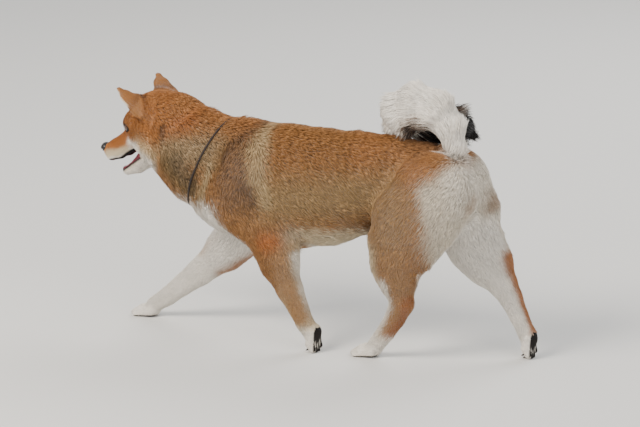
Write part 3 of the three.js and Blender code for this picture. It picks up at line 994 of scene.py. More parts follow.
class Markings:
    """The colours of skin and coat at any place."""

    WHITE = "F1EADF"
    CREAM = "D9CBB2"
    BLACK = "17120F"

    def _over(self, colour: np.ndarray, code: str, share: np.ndarray) -> np.ndarray:
        """Lays a colour over another."""
        share = np.clip(share, 0.0, 1.0)[:, None]
        return colour * (1.0 - share) + linear(code) * share

    def _strokes(self, colour: np.ndarray, flat: np.ndarray, side: np.ndarray, strokes: Sequence[Stroke],
                 stray: np.ndarray, within: np.ndarray) -> np.ndarray:
        """Lays a set of strokes over the colour.

        Args:
            colour: What is there.
            flat: Places as seen from the side.
            side: Sign of each place's side.
            strokes: The strokes.
            stray: How far each tuft strays from the edge.
            within: Where the strokes count.
        Returns:
            The new colour.
        """
        for stroke in strokes:
            reach = np.full(len(flat), 1e9)
            line = np.array(stroke.line, float)
            for a, b in zip(line[:-1], line[1:]):
                t = np.clip(((flat - a) @ (b - a)) / ((b - a) @ (b - a)), 0.0, 1.0)
                reach = np.minimum(reach, np.linalg.norm(flat - a - t[:, None] * (b - a), axis=1))
            share = ramp(reach * (1.0 + 0.35 * stray), stroke.radius * 1.75, stroke.radius * 0.25)
            if stroke.side:
                share = share * (side == stroke.side)
            colour = self._over(colour, stroke.colour, share * stroke.strength * within)
        return colour

    def colour(self, p: np.ndarray, n: np.ndarray, stray: np.ndarray) -> np.ndarray:
        """Gives the coat's colour.

        Args:
            p: Places on the skin.
            n: Normals there.
            stray: One number from -1 to 1 per place.
        Returns:
            Linear colours.
        """
        x, y, z = p[:, 0], p[:, 1], p[:, 2]
        side = np.sign(y + 1e-6)
        wave = stray * 0.25
        colour = np.tile(linear("9E7042"), (len(p), 1))
        upper = 1.0 - ramp(z, 205.0, 165.0)
        belly = ramp(z + 10 * stray, 226.0, 190.0) * ramp(x, -54.0, -24.0) * ramp(x, 150.0, 118.0)
        colour = self._over(colour, self.CREAM, belly)
        colour = self._over(colour, "DDD2C0", ramp(x + 8 * stray, 232.0, 258.0) * ramp(z, 346.0, 322.0))
        flat = p[:, [0, 2]]
        colour = self._strokes(colour, flat, side, BODY_STROKES, stray, np.ones(len(p)))
        inner = ramp(n[:, 1] * side + wave, 0.25, -0.25)
        colour = self._over(colour, self.WHITE, inner * ramp(z, 262.0, 232.0))
        below = ramp(n[:, 2] + wave, -0.6, -0.95) * ramp(z, 240.0, 200.0)
        colour = self._over(colour, self.WHITE, below)
        colour = self._over(colour, "CDB890", belly * 0.7)
        chest = ramp(x + 10 * stray, -152.0, -178.0) * ramp(z + 12 * stray, 258.0, 228.0) * upper
        colour = self._over(colour, self.WHITE, chest)
        far_fore = (side > 0) * ramp(x, -120.0, -170.0) * ramp(z, 190.0, 150.0)
        far_fore = far_fore * ramp(n[:, 2] + wave, 0.55, 0.05)
        colour = self._over(colour, self.WHITE, far_fore)
        far = 0.35 * (side > 0)
        outer = 1.0 - ramp(n[:, 1] * side + far, -0.15, -0.65)
        colour = self._strokes(colour, flat, side, LEG_STROKES, stray, outer)
        colour = self._over(colour, self.WHITE, ramp(z + 5 * stray, 52.0, 32.0) * 0.92)
        colour = self._tail(colour, p, stray)
        return self._head(colour, p, n, stray)

    def _tail(self, colour: np.ndarray, p: np.ndarray, stray: np.ndarray) -> np.ndarray:
        """Paints the tail: orange above, white outward, dark round its curl and at its tip.

        Args:
            colour: What is there.
            p: Places on the skin.
            stray: One number from -1 to 1 per place.
        Returns:
            The new colour.
        """
        on_tail = ramp(TAIL(p) - np.minimum(TRUNK(p), 40.0) * 0.2, 6.0, -8.0)
        on_tail = on_tail * ramp(p[:, 2], 318.0, 344.0)
        middle = np.linalg.norm(p[:, [0, 2]] - CURL_PAINT_MM, axis=1)
        outer = ramp(middle + 4 * stray, 28.0, 38.0)
        colour = self._over(colour, "9C7048", on_tail)
        colour = self._over(colour, self.WHITE, on_tail * outer)
        colour = self._over(colour, "1E1612", on_tail * ramp(middle + 4 * stray, 36.0, 27.0))
        tip = ramp(p[:, 0], 206.0, 222.0) * ramp(p[:, 1], 30.0, 42.0)
        colour = self._over(colour, self.BLACK, on_tail * tip)
        root = ramp(p[:, 2] + 6 * stray, 352.0, 330.0) * ramp(p[:, 0], 236.0, 222.0)
        return self._over(colour, "9C7048", on_tail * root * 0.8)

    def _head(self, colour: np.ndarray, p: np.ndarray, n: np.ndarray, stray: np.ndarray) -> np.ndarray:
        """Paints the head: red above, white cheeks and muzzle sides, pale inner ears with painted shade low
        on the ears, dark rims.

        Args:
            colour: What is there.
            p: Places on the skin.
            n: Normals there.
            stray: One number from -1 to 1 per place.
        Returns:
            The new colour.
        """
        h = in_frame(HEAD, p)
        on_head = ramp(HEAD_FORM(p), 14.0, 2.0) * ramp(h[:, 0], 74.0, 56.0)
        near = on_head > 0.001
        if near.any():
            part, own, turn = h[near], colour[near], stray[near]
            low = np.where(part[:, 0] < -40.0, -38.0, -48.0)
            red = self._over(np.tile(linear("A66A34"), (len(part), 1)), "E2D6C2",
                             ramp(part[:, 2] + 3 * turn - low, 5.0, -6.0))
            below = ramp(n[near][:, 2] + 0.1 * turn, -0.15, -0.55) * ramp(part[:, 2], -10.0, -22.0)
            red = self._over(red, self.WHITE, below)
            sides = np.sign(part[:, 1])
            red = self._strokes(red, part[:, [0, 2]], sides, HEAD_STROKES, turn, np.ones(len(part)))
            brow = np.linalg.norm((np.abs(part) - [22, 17, 20]) * [1, 1, 1.2], axis=1)
            red = self._over(red, "D9C3A0", ramp(brow, 11.0, 4.0) * (part[:, 0] < 0) * 0.8)
            colour[near] = own * (1 - on_head[near, None]) + red * on_head[near, None]
            colour[near] = self._face(colour[near], part, n[near] @ HEAD[:3, 2])
        for side, form in zip(SIDES, EARS):
            e = in_frame(ear_frame(side), p)
            on_ear = ramp(form(p), 5.0, 1.0) * ramp(e[:, 2], 8.0, 18.0)
            front = ramp(n @ ear_frame(side)[:3, 1] + 0.15 * stray, -0.1, -0.45)
            on_ear = on_ear * ramp(CRANIUM(in_frame(HEAD, p)), 0.5, 6.0)
            colour = self._over(colour, "93602F", on_ear)
            # Painted shade: the lower part of each ear is darkened towards its base.
            colour = self._over(colour, "5E3A20", on_ear * ramp(e[:, 2] + 4 * stray, 30.0, 12.0) * 0.55)
            # The pale inner-ear colour starts above the ear's base, so the painted shade stays low in the
            # opening.
            colour = self._over(colour, "E3D3BA", on_ear * front * ramp(e[:, 2], 15.0, 26.0))
            deep = ramp(np.abs(e[:, 0]), 6.0, 2.0) * ramp(e[:, 2], 40.0, 30.0)
            colour = self._over(colour, "7C4A30", on_ear * front * deep * 0.5)
        return colour

    def _face(self, colour: np.ndarray, h: np.ndarray, rise: np.ndarray) -> np.ndarray:
        """Paints lid rims, lips and the mouth's inside.

        Args:
            colour: What is there.
            h: Places in the head's frame.
            rise: How far each normal points to the head's top.
        Returns:
            The new colour.
        """
        size = EyeSize()
        for side in SIDES:
            e = in_frame(np.linalg.inv(HEAD) @ eye_frame(side), h)
            oval = np.hypot(e[:, 0] / size.half_width, e[:, 1] / size.half_height)
            rim = ramp(oval, 1.5, 1.25) * (np.abs(e[:, 2] - 7) < 8)
            colour = self._over(colour, self.BLACK, rim)
        gap = MOUTH(h)
        colour = self._over(colour, self.BLACK, ramp(gap, 5.0, 2.6) * (h[:, 0] < -26))
        over_jaw = h[:, 2] + 60.0 - (h[:, 0] + 32.0) * 0.3
        at_jaw = (h[:, 0] < -34) * (MUZZLE(h) > 2.0) * (h[:, 2] < -44)
        colour = self._over(colour, self.BLACK, ramp(over_jaw, 0.0, 2.5) * at_jaw)
        flesh = ramp(over_jaw, 3.0, 5.0) * at_jaw
        under = (h[:, 0] < -40) * (MUZZLE(h) < 2.0) * (h[:, 2] < -40)
        colour = self._over(colour, self.BLACK, under * ramp(rise, -0.5, -0.72))
        roof = under * ramp(rise, -0.82, -0.95) * (np.abs(h[:, 1]) < 11)
        inner = np.maximum(ramp(gap, 2.6, 1.2) * (np.abs(h[:, 1]) < 12) * (h[:, 0] < -34), flesh)
        return self._over(colour, "7E3A44", np.maximum(inner, roof))


def pads(p: np.ndarray) -> np.ndarray:
    """Tells where the soles' bare pads are.

    Args:
        p: Places on the skin.
    Returns:
        Numbers from nought to one.
    """
    share = np.zeros(len(p))
    for frame in PAWS.values():
        q = in_frame(frame, p)
        close = (np.abs(q[:, 0] + 9) < 24) & (np.abs(q[:, 1]) < 24)
        share = np.maximum(share, ramp(q[:, 2], -4.6, -6.4) * close * (q[:, 2] > -15))
    return share


def bare(p: np.ndarray) -> np.ndarray:
    """Tells where no hair grows: eyes, nose, lips, mouth and pads.

    Args:
        p: Places on the skin.
    Returns:
        Numbers from nought to one.
    """
    h = in_frame(HEAD, p)
    share = pads(p)
    for side in SIDES:
        e = in_frame(eye_frame(side), p)
        oval = np.hypot(e[:, 0] / 10.2, e[:, 1] / 7.4)
        share = np.maximum(share, (oval < 1.0) * (np.abs(e[:, 2] - 4) < 12))
    share = np.maximum(share, ball([-124, 0, -30], [11.5, 12.5, 11])(h) < 0)
    return np.maximum(share, (MOUTH(h) < 3.6) & (h[:, 0] < -24))


def add_node(
    tree: bpy.types.NodeTree, kind: str, links: dict | None = None, **settings: object
) -> bpy.types.Node:
    """Adds a node with its settings and links.

    Args:
        tree: The node tree.
        kind: The node's type.
        links: Sockets by name or number, each fed by an output or set to a value.
        settings: Properties of the node.
    Returns:
        The node.
    """
    node = tree.nodes.new(kind)
    for name, value in settings.items():
        setattr(node, name, value)
    for socket, source in (links or {}).items():
        if isinstance(source, bpy.types.NodeSocket):
            tree.links.new(source, node.inputs[socket])
        else:
            node.inputs[socket].default_value = source
    return node


@dataclass(frozen=True)
class Finish:
    """A surface: how it reflects, and the fine relief it has."""

    name: str
    colour: str = "FFFFFF"
    roughness: float = 0.5
    ior: float = 1.5
    specular: float = 0.5
    coat: float = 0.0
    coat_roughness: float = 0.05
    sheen: float = 0.0
    subsurface: float = 0.0
    relief_mm: float = 0.0
    grain_mm: float = 1.0
    painted: bool = False
    per_tuft: bool = False

    def build(self) -> bpy.types.Material:
        """Makes the material.

        Returns:
            The material.
        """
        material = bpy.data.materials.new(self.name)
        material.use_nodes = True
        tree = material.node_tree
        shader = tree.nodes["Principled BSDF"]
        values = {
            "Base Color": (*linear(self.colour), 1.0), "Roughness": self.roughness, "IOR": self.ior,
            "Specular IOR Level": self.specular, "Coat Weight": self.coat,
            "Coat Roughness": self.coat_roughness, "Sheen Weight": self.sheen, "Sheen Roughness": 0.45,
            "Subsurface Weight": self.subsurface, "Subsurface Scale": 0.002,
        }
        for name, value in values.items():
            shader.inputs[name].default_value = value
        if self.painted:
            self._paint(tree, shader)
        if self.relief_mm:
            place = add_node(tree, "ShaderNodeTexCoord")
            size = {"Vector": place.outputs["Object"], "Scale": 1000.0 / self.grain_mm, "Detail": 3.0}
            grain = add_node(tree, "ShaderNodeTexNoise", size)
            rise = {"Height": grain.outputs[0], "Distance": self.relief_mm / 1000.0, "Strength": 0.8}
            bump = add_node(tree, "ShaderNodeBump", rise)
            tree.links.new(bump.outputs["Normal"], shader.inputs["Normal"])
        return material

    def _paint(self, tree: bpy.types.NodeTree, shader: bpy.types.Node) -> None:
        """Feeds the markings to the shader, with each tuft a little lighter or darker.

        Args:
            tree: The node tree.
            shader: The surface shader.
        """
        marks = add_node(tree, "ShaderNodeAttribute", attribute_name="markings")
        colour = marks.outputs["Color"]
        if self.per_tuft:
            tone = add_node(tree, "ShaderNodeAttribute", attribute_name="tone")
            grey = {channel: tone.outputs["Fac"] for channel in range(3)}
            shade = add_node(tree, "ShaderNodeCombineColor", grey)
            both = {0: 1.0, 6: colour, 7: shade.outputs[0]}
            mix = add_node(tree, "ShaderNodeMix", both, data_type="RGBA", blend_type="MULTIPLY")
            colour = mix.outputs[2]
        tree.links.new(colour, shader.inputs["Base Color"])


class Surface(Enum):
    """Every finish of the model."""

    # Skin under the hair: dull and slightly oily, so the gaps between tufts stay soft.
    SKIN = Finish(
        "skin_haired", roughness=0.75, ior=1.4, specular=0.25, relief_mm=0.5, grain_mm=1.6, painted=True
    )
    # Guard hair, grown: a soft satin with a pale sheen where the light grazes it.
    COAT = Finish(
        "coat_guard_hair", roughness=0.62, ior=1.55, specular=0.22, sheen=0.18, painted=True, per_tuft=True
    )
    # Nose leather, pebbled and moist: small broken highlights.
    NOSE = Finish("nose_leather_moist", "15110F", 0.38, 1.4, 0.5, 0.35, 0.2, relief_mm=0.35, grain_mm=1.1)
    # Wet cornea over a dark brown iris: one sharp highlight.
    EYE = Finish(
        "eye_wet", roughness=0.12, ior=1.38, specular=0.5, coat=1.0, coat_roughness=0.02, painted=True
    )
    # Claw horn, worn on the ground: dark, semi-gloss.
    CLAW = Finish("claw_horn", "1D1815", 0.42, 1.55, 0.45, relief_mm=0.05, grain_mm=0.8)
    # Wet tongue with small papillae: pink with a broken shine.
    TONGUE = Finish(
        "tongue_wet", "C4666A", 0.4, 1.4, 0.5, 0.4, 0.15, subsurface=0.25, relief_mm=0.25, grain_mm=0.9
    )
    # Tooth enamel: off-white and glossy.
    TOOTH = Finish("tooth_enamel", "EAE2D0", 0.25, 1.62, 0.5, 0.3, 0.1, subsurface=0.1)
    # Braided collar cord, dyed: matt, with a fine weave.
    COLLAR = Finish("collar_cord_dyed", "2B2320", 0.7, 1.5, 0.3, relief_mm=0.3, grain_mm=0.9)
    # Studio floor, painted and rolled: matt and pale.
    FLOOR = Finish("floor_paint_matt", "D9D7D3", 0.85, 1.5, 0.2)


class Finishes:
    """Makes each material once."""

    def __init__(self) -> None:
        """Starts with none."""
        self.made: dict[Surface, bpy.types.Material] = {}

    def dress(self, piece: bpy.types.Object, surface: Surface) -> None:
        """Gives a piece its material.

        Args:
            piece: The piece.
            surface: Its finish.
        """
        if surface not in self.made:
            self.made[surface] = surface.value.build()
        piece.data.materials.clear()
        piece.data.materials.append(self.made[surface])


class Skin:
    """The one skin over all flesh."""

    NODES = (
        ["neck", "chest", "barrel", "rump", "head", "lower_jaw", "ear_left", "ear_right"]
        + ["tail_base", "tail_middle", "tail_end"]
        + [f"fore_{side}_{part}" for side in ("left", "right") for part in ("forearm", "metacarpus", "paw")]
        + [
            f"hind_{side}_{part}"
            for side in ("left", "right")
            for part in ("thigh", "shank", "metatarsus", "paw")
        ]
    )

    def __init__(self, pelt: Pelt, markings: Markings) -> None:
        """Stores what the skin is made from.

        Args:
            pelt: The coat's regions.
            markings: The coat's colours.
        """
        self.pelt = pelt
        self.markings = markings
        self.form = SkinForm(pelt)

    def _refine(self, piece: bpy.types.Object) -> None:
        """Splits the faces round eyes, nose and mouth and moves them onto the form.

        Args:
            piece: The skin.
        """
        for _ in range(FACE_STEPS):
            h = in_frame(HEAD, points_of(piece))
            from_eye = np.stack([h[:, 0], np.abs(h[:, 1]), h[:, 2]], axis=1) - FINE_EYE_MM
            at_eye = np.linalg.norm(from_eye, axis=1) < FINE_EYE_REACH_MM
            at_mouth = (MOUTH(h) < 8.0) & (h[:, 0] < -20)
            chosen = at_eye | at_mouth | (h[:, 0] < FINE_NOSE_MM)
            bm = bmesh.new()
            bm.from_mesh(piece.data)
            bm.verts.ensure_lookup_table()
            edges = [e for e in bm.edges if chosen[e.verts[0].index] and chosen[e.verts[1].index]]
            bmesh.ops.subdivide_edges(bm, edges=edges, cuts=1, use_grid_fill=True)
            bm.to_mesh(piece.data)
            bm.free()
        p = points_of(piece)
        h = in_frame(HEAD, p)
        face = (h[:, 0] < -10) & (np.abs(h[:, 1]) < 45) & (np.abs(h[:, 2] + 25) < 70)
        p[face] = settle(self.form, p[face], 2)
        piece.data.vertices.foreach_set("co", to_frame(p).ravel())

    def build(self) -> bpy.types.Object:
        """Makes the skin.

        Returns:
            The object.
        """
        vertices, quads = Net(*SKIN_BOX_MM, SKIN_CELL_MM).mesh(self.form)
        vertices = np.concatenate([settle(self.form, part, 1) for part in np.array_split(vertices, 8)])
        vertices[:, 2] = np.maximum(vertices[:, 2], SKIN_FLOOR_MM)
        skin = mesh_object("skin", vertices, quads)
        self._refine(skin)
        self._drop_islands(skin)
        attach(skin, "root")
        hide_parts(*self.NODES)
        LOG.info("skin: %d faces", len(skin.data.polygons))
        return skin

    def _drop_islands(self, piece: bpy.types.Object) -> None:
        """Deletes the first small loose bit that the grid may leave.

        Args:
            piece: The skin.
        """
        bm = bmesh.new()
        bm.from_mesh(piece.data)
        seen: set = set()
        for start in bm.verts:
            if start in seen:
                continue
            group, queue = {start}, [start]
            while queue:
                for edge in queue.pop().link_edges:
                    for other in edge.verts:
                        if other not in group:
                            group.add(other)
                            queue.append(other)
            seen |= group
            if len(group) < ISLAND_VERTICES:
                bmesh.ops.delete(bm, geom=list(group), context="VERTS")
                break
        bm.normal_update()
        bm.to_mesh(piece.data)
        bm.free()

    def unwrap(self, skin: bpy.types.Object) -> None:
        """Unwraps the skin by the way its faces look.

        Args:
            skin: The skin.
        """
        bpy.context.view_layer.objects.active = skin
        skin.select_set(True)
        bpy.ops.object.mode_set(mode="EDIT")
        bpy.ops.mesh.select_all(action="SELECT")
        bpy.ops.uv.smart_project(angle_limit=math.radians(66), island_margin=0.001)
        bpy.ops.object.mode_set(mode="OBJECT")
        skin.data.uv_layers[0].name = "OFBake"

    def dress(self, skin: bpy.types.Object, finishes: Finishes) -> None:
        """Paints the markings on the skin.

        Args:
            skin: The skin.
            finishes: The materials.
        """
        p = points_of(skin)
        colour = self.markings.colour(p, normals_of(skin), np.zeros(len(p)))
        sole = pads(p)[:, None]
        colour = colour * (1 - sole) + linear("1A1614") * sole
        paint(skin, "markings", colour)
        finishes.dress(skin, Surface.SKIN)


@dataclass
class Roots:
    """Where tufts stand and what they are like there."""

    place: np.ndarray
    normal: np.ndarray
    lie: np.ndarray
    bend: np.ndarray
    depth: np.ndarray
    length: np.ndarray
    width: np.ndarray
    colour: np.ndarray
    uv: np.ndarray
    owner: np.ndarray


class Coat:
    """The coat: tapering three-sided tufts that follow the lie of the hair."""

    # Shares of a tuft's length where it has corners, and the triangles that makes.
    STATIONS = {Piece.TAIL: (0.0, 0.4, 0.75, 1.0)}
    SHORT = (0.0, 0.5, 1.0)
    TAIL_TRIANGLES = 15
    SHORT_TRIANGLES = 9
    # Most triangles of the whole coat, and of one piece.
    BUDGET = 1_420_000
    LIMIT = 190_000
    # Half the width of a tuft's patch in the bake map.
    PATCH = 0.0015
    # How far ahead the skin's bend is felt, and the most it counts.
    AHEAD_MM = 6.0
    BENDS = (-0.03, 0.05)
    # Size of a lock as a share of the hair's length, and how far its tips draw together.
    LOCK = 0.36
    CLUMP = 0.26
    # Tone of a whole tuft, and of its root and the gain to its tip.
    TONES = (0.86, 1.1)
    ROOT_TONE = 0.84
    TIP_GAIN = 0.2

    def __init__(self, pelt: Pelt, markings: Markings, form: SkinForm) -> None:
        """Stores what the coat is made from.

        Args:
            pelt: The coat's regions.
            markings: The coat's colours.
            form: The skin's field.
        """
        self.pelt = pelt
        self.markings = markings
        self.form = form
        self.random = np.random.default_rng(SEED)

    def _roots(self, skin: bpy.types.Object) -> Roots:
        """Scatters roots over the skin.

        Args:
            skin: The skin.
        Returns:
            The roots.
        """
        mesh = skin.data
        mesh.calc_loop_triangles()
        count = len(mesh.loop_triangles)
        corners, loops = np.empty(count * 3, int), np.empty(count * 3, int)
        mesh.loop_triangles.foreach_get("vertices", corners)
        mesh.loop_triangles.foreach_get("loops", loops)
        corners, loops = corners.reshape(-1, 3), loops.reshape(-1, 3)
        uv = np.empty(len(mesh.loops) * 2)
        mesh.uv_layers["OFBake"].data.foreach_get("uv", uv)
        uv = uv.reshape(-1, 2)
        p, normal = points_of(skin), normals_of(skin)
        share = self.pelt.weights(p)
        hair = self.pelt.hair(share)
        lie = self.pelt.lie(p, normal, share)
        ahead = unit(gradient(self.form, p + lie * self.AHEAD_MM, 1.5))
        bend = np.clip(((ahead - normal) * lie).sum(axis=1) / self.AHEAD_MM, *self.BENDS)
        curl = np.linalg.norm(p[:, [0, 2]] - CURL_HAIR_MM, axis=1)
        hair["depth"] = hair["depth"] * (1.0 + 2.2 * ramp(curl, 42.0, 28.0) * (TAIL(p) < 2.0))
        density = hair["density"] * (1.0 - bare(p))
        a, b, c = p[corners[:, 0]], p[corners[:, 1]], p[corners[:, 2]]
        area = np.linalg.norm(np.cross(b - a, c - a), axis=1) / 2
        grown = area * density[corners].min(axis=1)
        owner = share.argmax(axis=1)
        on_tail = np.array([region.piece is Piece.TAIL for region in self.pelt.regions])[owner[corners[:, 0]]]
        each = np.where(on_tail, self.TAIL_TRIANGLES, self.SHORT_TRIANGLES)
        grown *= min(1.0, self.BUDGET / (grown * each).sum())
        wanted = np.cumsum(grown)
        total = int(wanted[-1])
        steps = (np.arange(total) + self.random.random(total)) * wanted[-1] / total
        chosen = np.searchsorted(wanted, steps)
        chosen = np.clip(chosen, 0, count - 1)
        u, v = self.random.random((2, total))
        flip = u + v > 1
        u[flip], v[flip] = 1 - u[flip], 1 - v[flip]
        blend = np.stack([1 - u - v, u, v], axis=1)

        def mixed(values: np.ndarray, index: np.ndarray = corners) -> np.ndarray:
            """Blends values of a triangle's corners.

            Args:
                values: One row per vertex or loop.
                index: Corners of each triangle.
            Returns:
                One row per root.
            """
            picked = values[index[chosen]]
            return (picked * (blend[..., None] if picked.ndim == 3 else blend)).sum(axis=1)

        place, normal = mixed(p), unit(mixed(normal))
        stray = self.random.uniform(-1, 1, total)
        return Roots(
            place=place,
            normal=normal,
            lie=unit(mixed(lie)),
            bend=mixed(bend),
            depth=mixed(hair["depth"]),
            length=mixed(hair["length"]),
            width=mixed(hair["width"]),
            colour=self.markings.colour(place, normal, stray),
            uv=mixed(uv, loops),
            owner=owner[corners[chosen, 0]],
        )

    def _waves(self, p: np.ndarray, size: float) -> np.ndarray:
        """Gives a slow wander over the body."""
        q = p / size * 2 * math.pi
        return (np.sin(q[:, 0] + 1.7 * np.sin(q[:, 2] * 0.7)) + np.sin(q[:, 2] * 1.1 + q[:, 1] + 2.0)) / 2

    def _tufts(self, r: Roots, stations: Sequence[float]) -> tuple[np.ndarray, np.ndarray, np.ndarray]:
        """Shapes one tuft at each root.

        Args:
            r: The roots.
            stations: Shares of the length where a tuft has corners.
        Returns:
            Vertices, triangles and each vertex's share of the length.
        """
        count = len(r.place)
        jitter = self.random.uniform(-1, 1, (4, count))
        turn = 0.13 * self._waves(r.place, 52.0) + 0.07 * self._waves(r.place, 19.0) + 0.16 * jitter[0]
        across = np.cross(r.lie, r.normal)
        way = unit(r.lie * np.cos(turn)[:, None] + across * np.sin(turn)[:, None])
        across = np.cross(way, r.normal)
        length = r.length * (1.0 + 0.25 * jitter[1])
        rise = r.depth * (0.82 + 0.14 * jitter[2])
        width = r.width * (1.0 + 0.25 * jitter[3])
        tip = r.place + way * length[:, None] + r.normal * (rise - r.bend * length**2 / 2)[:, None]
        spread = np.maximum(r.length.mean() * self.LOCK, 2.0)
        cell = np.floor(r.place / spread + 0.3 * jitter[0][:, None]).astype(int)
        _, lock = np.unique(cell, axis=0, return_inverse=True)
        lock = lock.ravel()
        size = np.bincount(lock)
        middle = np.stack([np.bincount(lock, tip[:, k]) / size for k in range(3)], axis=1)[lock]
        rings, shares = [], []
        for share in stations:
            along = length * share
            lift = rise * (1.0 - (1.0 - share) ** 1.7) - 0.6 * (share == 0.0)
            centre = r.place + way * along[:, None] + r.normal * (lift - r.bend * along**2 / 2)[:, None]
            centre = centre + (middle - tip) * self.CLUMP * share**1.5
            if share == 1.0:
                rings.append(centre[:, None])
                shares.append(np.ones((count, 1)))
                continue
            half = (width * (0.42 + 0.35 * share if share < 0.5 else 0.62 - 0.42 * share))[:, None]
            ring = [centre - across * half, centre + across * half, centre + r.normal * half * 0.8]
            rings.append(np.stack(ring, axis=1))
            shares.append(np.full((count, 3), share))
        vertices = np.concatenate(rings, axis=1)
        each = vertices.shape[1]
        faces = []
        for ring in range(len(stations) - 2):
            for k in range(3):
                a, b = ring * 3 + k, ring * 3 + (k + 1) % 3
                faces += [(a, b, b + 3), (a, b + 3, a + 3)]
        last = (len(stations) - 2) * 3
        faces += [(last + k, last + (k + 1) % 3, last + 3) for k in range(3)]
        triangles = (np.arange(count)[:, None, None] * each + np.array(faces)[None]).reshape(-1, 3)
        return vertices.reshape(-1, 3), triangles, np.concatenate(shares, axis=1).ravel()

    def build(self, skin: bpy.types.Object, finishes: Finishes) -> list[bpy.types.Object]:
        """Makes the coat in pieces.

        Args:
            skin: The skin it grows on.
            finishes: The materials.
        Returns:
            The pieces.
        """
        roots = self._roots(skin)
        kinds = np.array([list(Piece).index(region.piece) for region in self.pelt.regions])[roots.owner]
        made = []
        for number, kind in enumerate(Piece):
            stations = self.STATIONS.get(kind, self.SHORT)
            index = np.flatnonzero(kinds == number)
            index = index[np.argsort(roots.place[index, 1], kind="stable")]
            triangles = len(index) * (self.TAIL_TRIANGLES if kind is Piece.TAIL else self.SHORT_TRIANGLES)
            parts = max(1, math.ceil(triangles / self.LIMIT))
            for part, chosen in enumerate(np.array_split(index, parts)):
                own = Roots(**{name: getattr(roots, name)[chosen] for name in Roots.__dataclass_fields__})
                made.append(self._piece(f"coat_{kind.value}_{part + 1}", own, stations, finishes))
        return made

    def _piece(
        self, name: str, own: Roots, stations: Sequence[float], finishes: Finishes
    ) -> bpy.types.Object:
        """Makes one piece of the coat.

        Args:
            name: Its name.
            own: Its roots.
            stations: Shares of the length where a tuft has corners.
            finishes: The materials.
        Returns:
            The object.
        """
        vertices, triangles, share = self._tufts(own, stations)
        vertices[:, 2] = np.maximum(vertices[:, 2], HAIR_FLOOR_MM)
        piece = mesh_object(name, vertices, triangles)
        each = len(vertices) // len(own.place)
        paint(piece, "markings", np.repeat(own.colour, each, axis=0))
        own_tone = self.random.uniform(*self.TONES, len(own.place))
        own_tone = own_tone * (1.0 + 0.04 * self._waves(own.place, 60.0))
        paint(piece, "tone", np.repeat(own_tone, each) * (self.ROOT_TONE + self.TIP_GAIN * share))
        corner = self.random.uniform(-self.PATCH, self.PATCH, (each, 2))
        corner[0], corner[-1] = (-self.PATCH, -self.PATCH), (self.PATCH, self.PATCH)
        uv = (np.repeat(own.uv, each, axis=0).reshape(-1, each, 2) + corner).reshape(-1, 2)
        layer = piece.data.uv_layers.new(name="OFBake")
        layer.data.foreach_set("uv", uv[triangles.ravel()].astype(np.float32).ravel())
        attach(piece, "root")
        finishes.dress(piece, Surface.COAT)
        LOG.info("%s: %d tufts, %d triangles", name, len(own.place), len(triangles))
        return piece


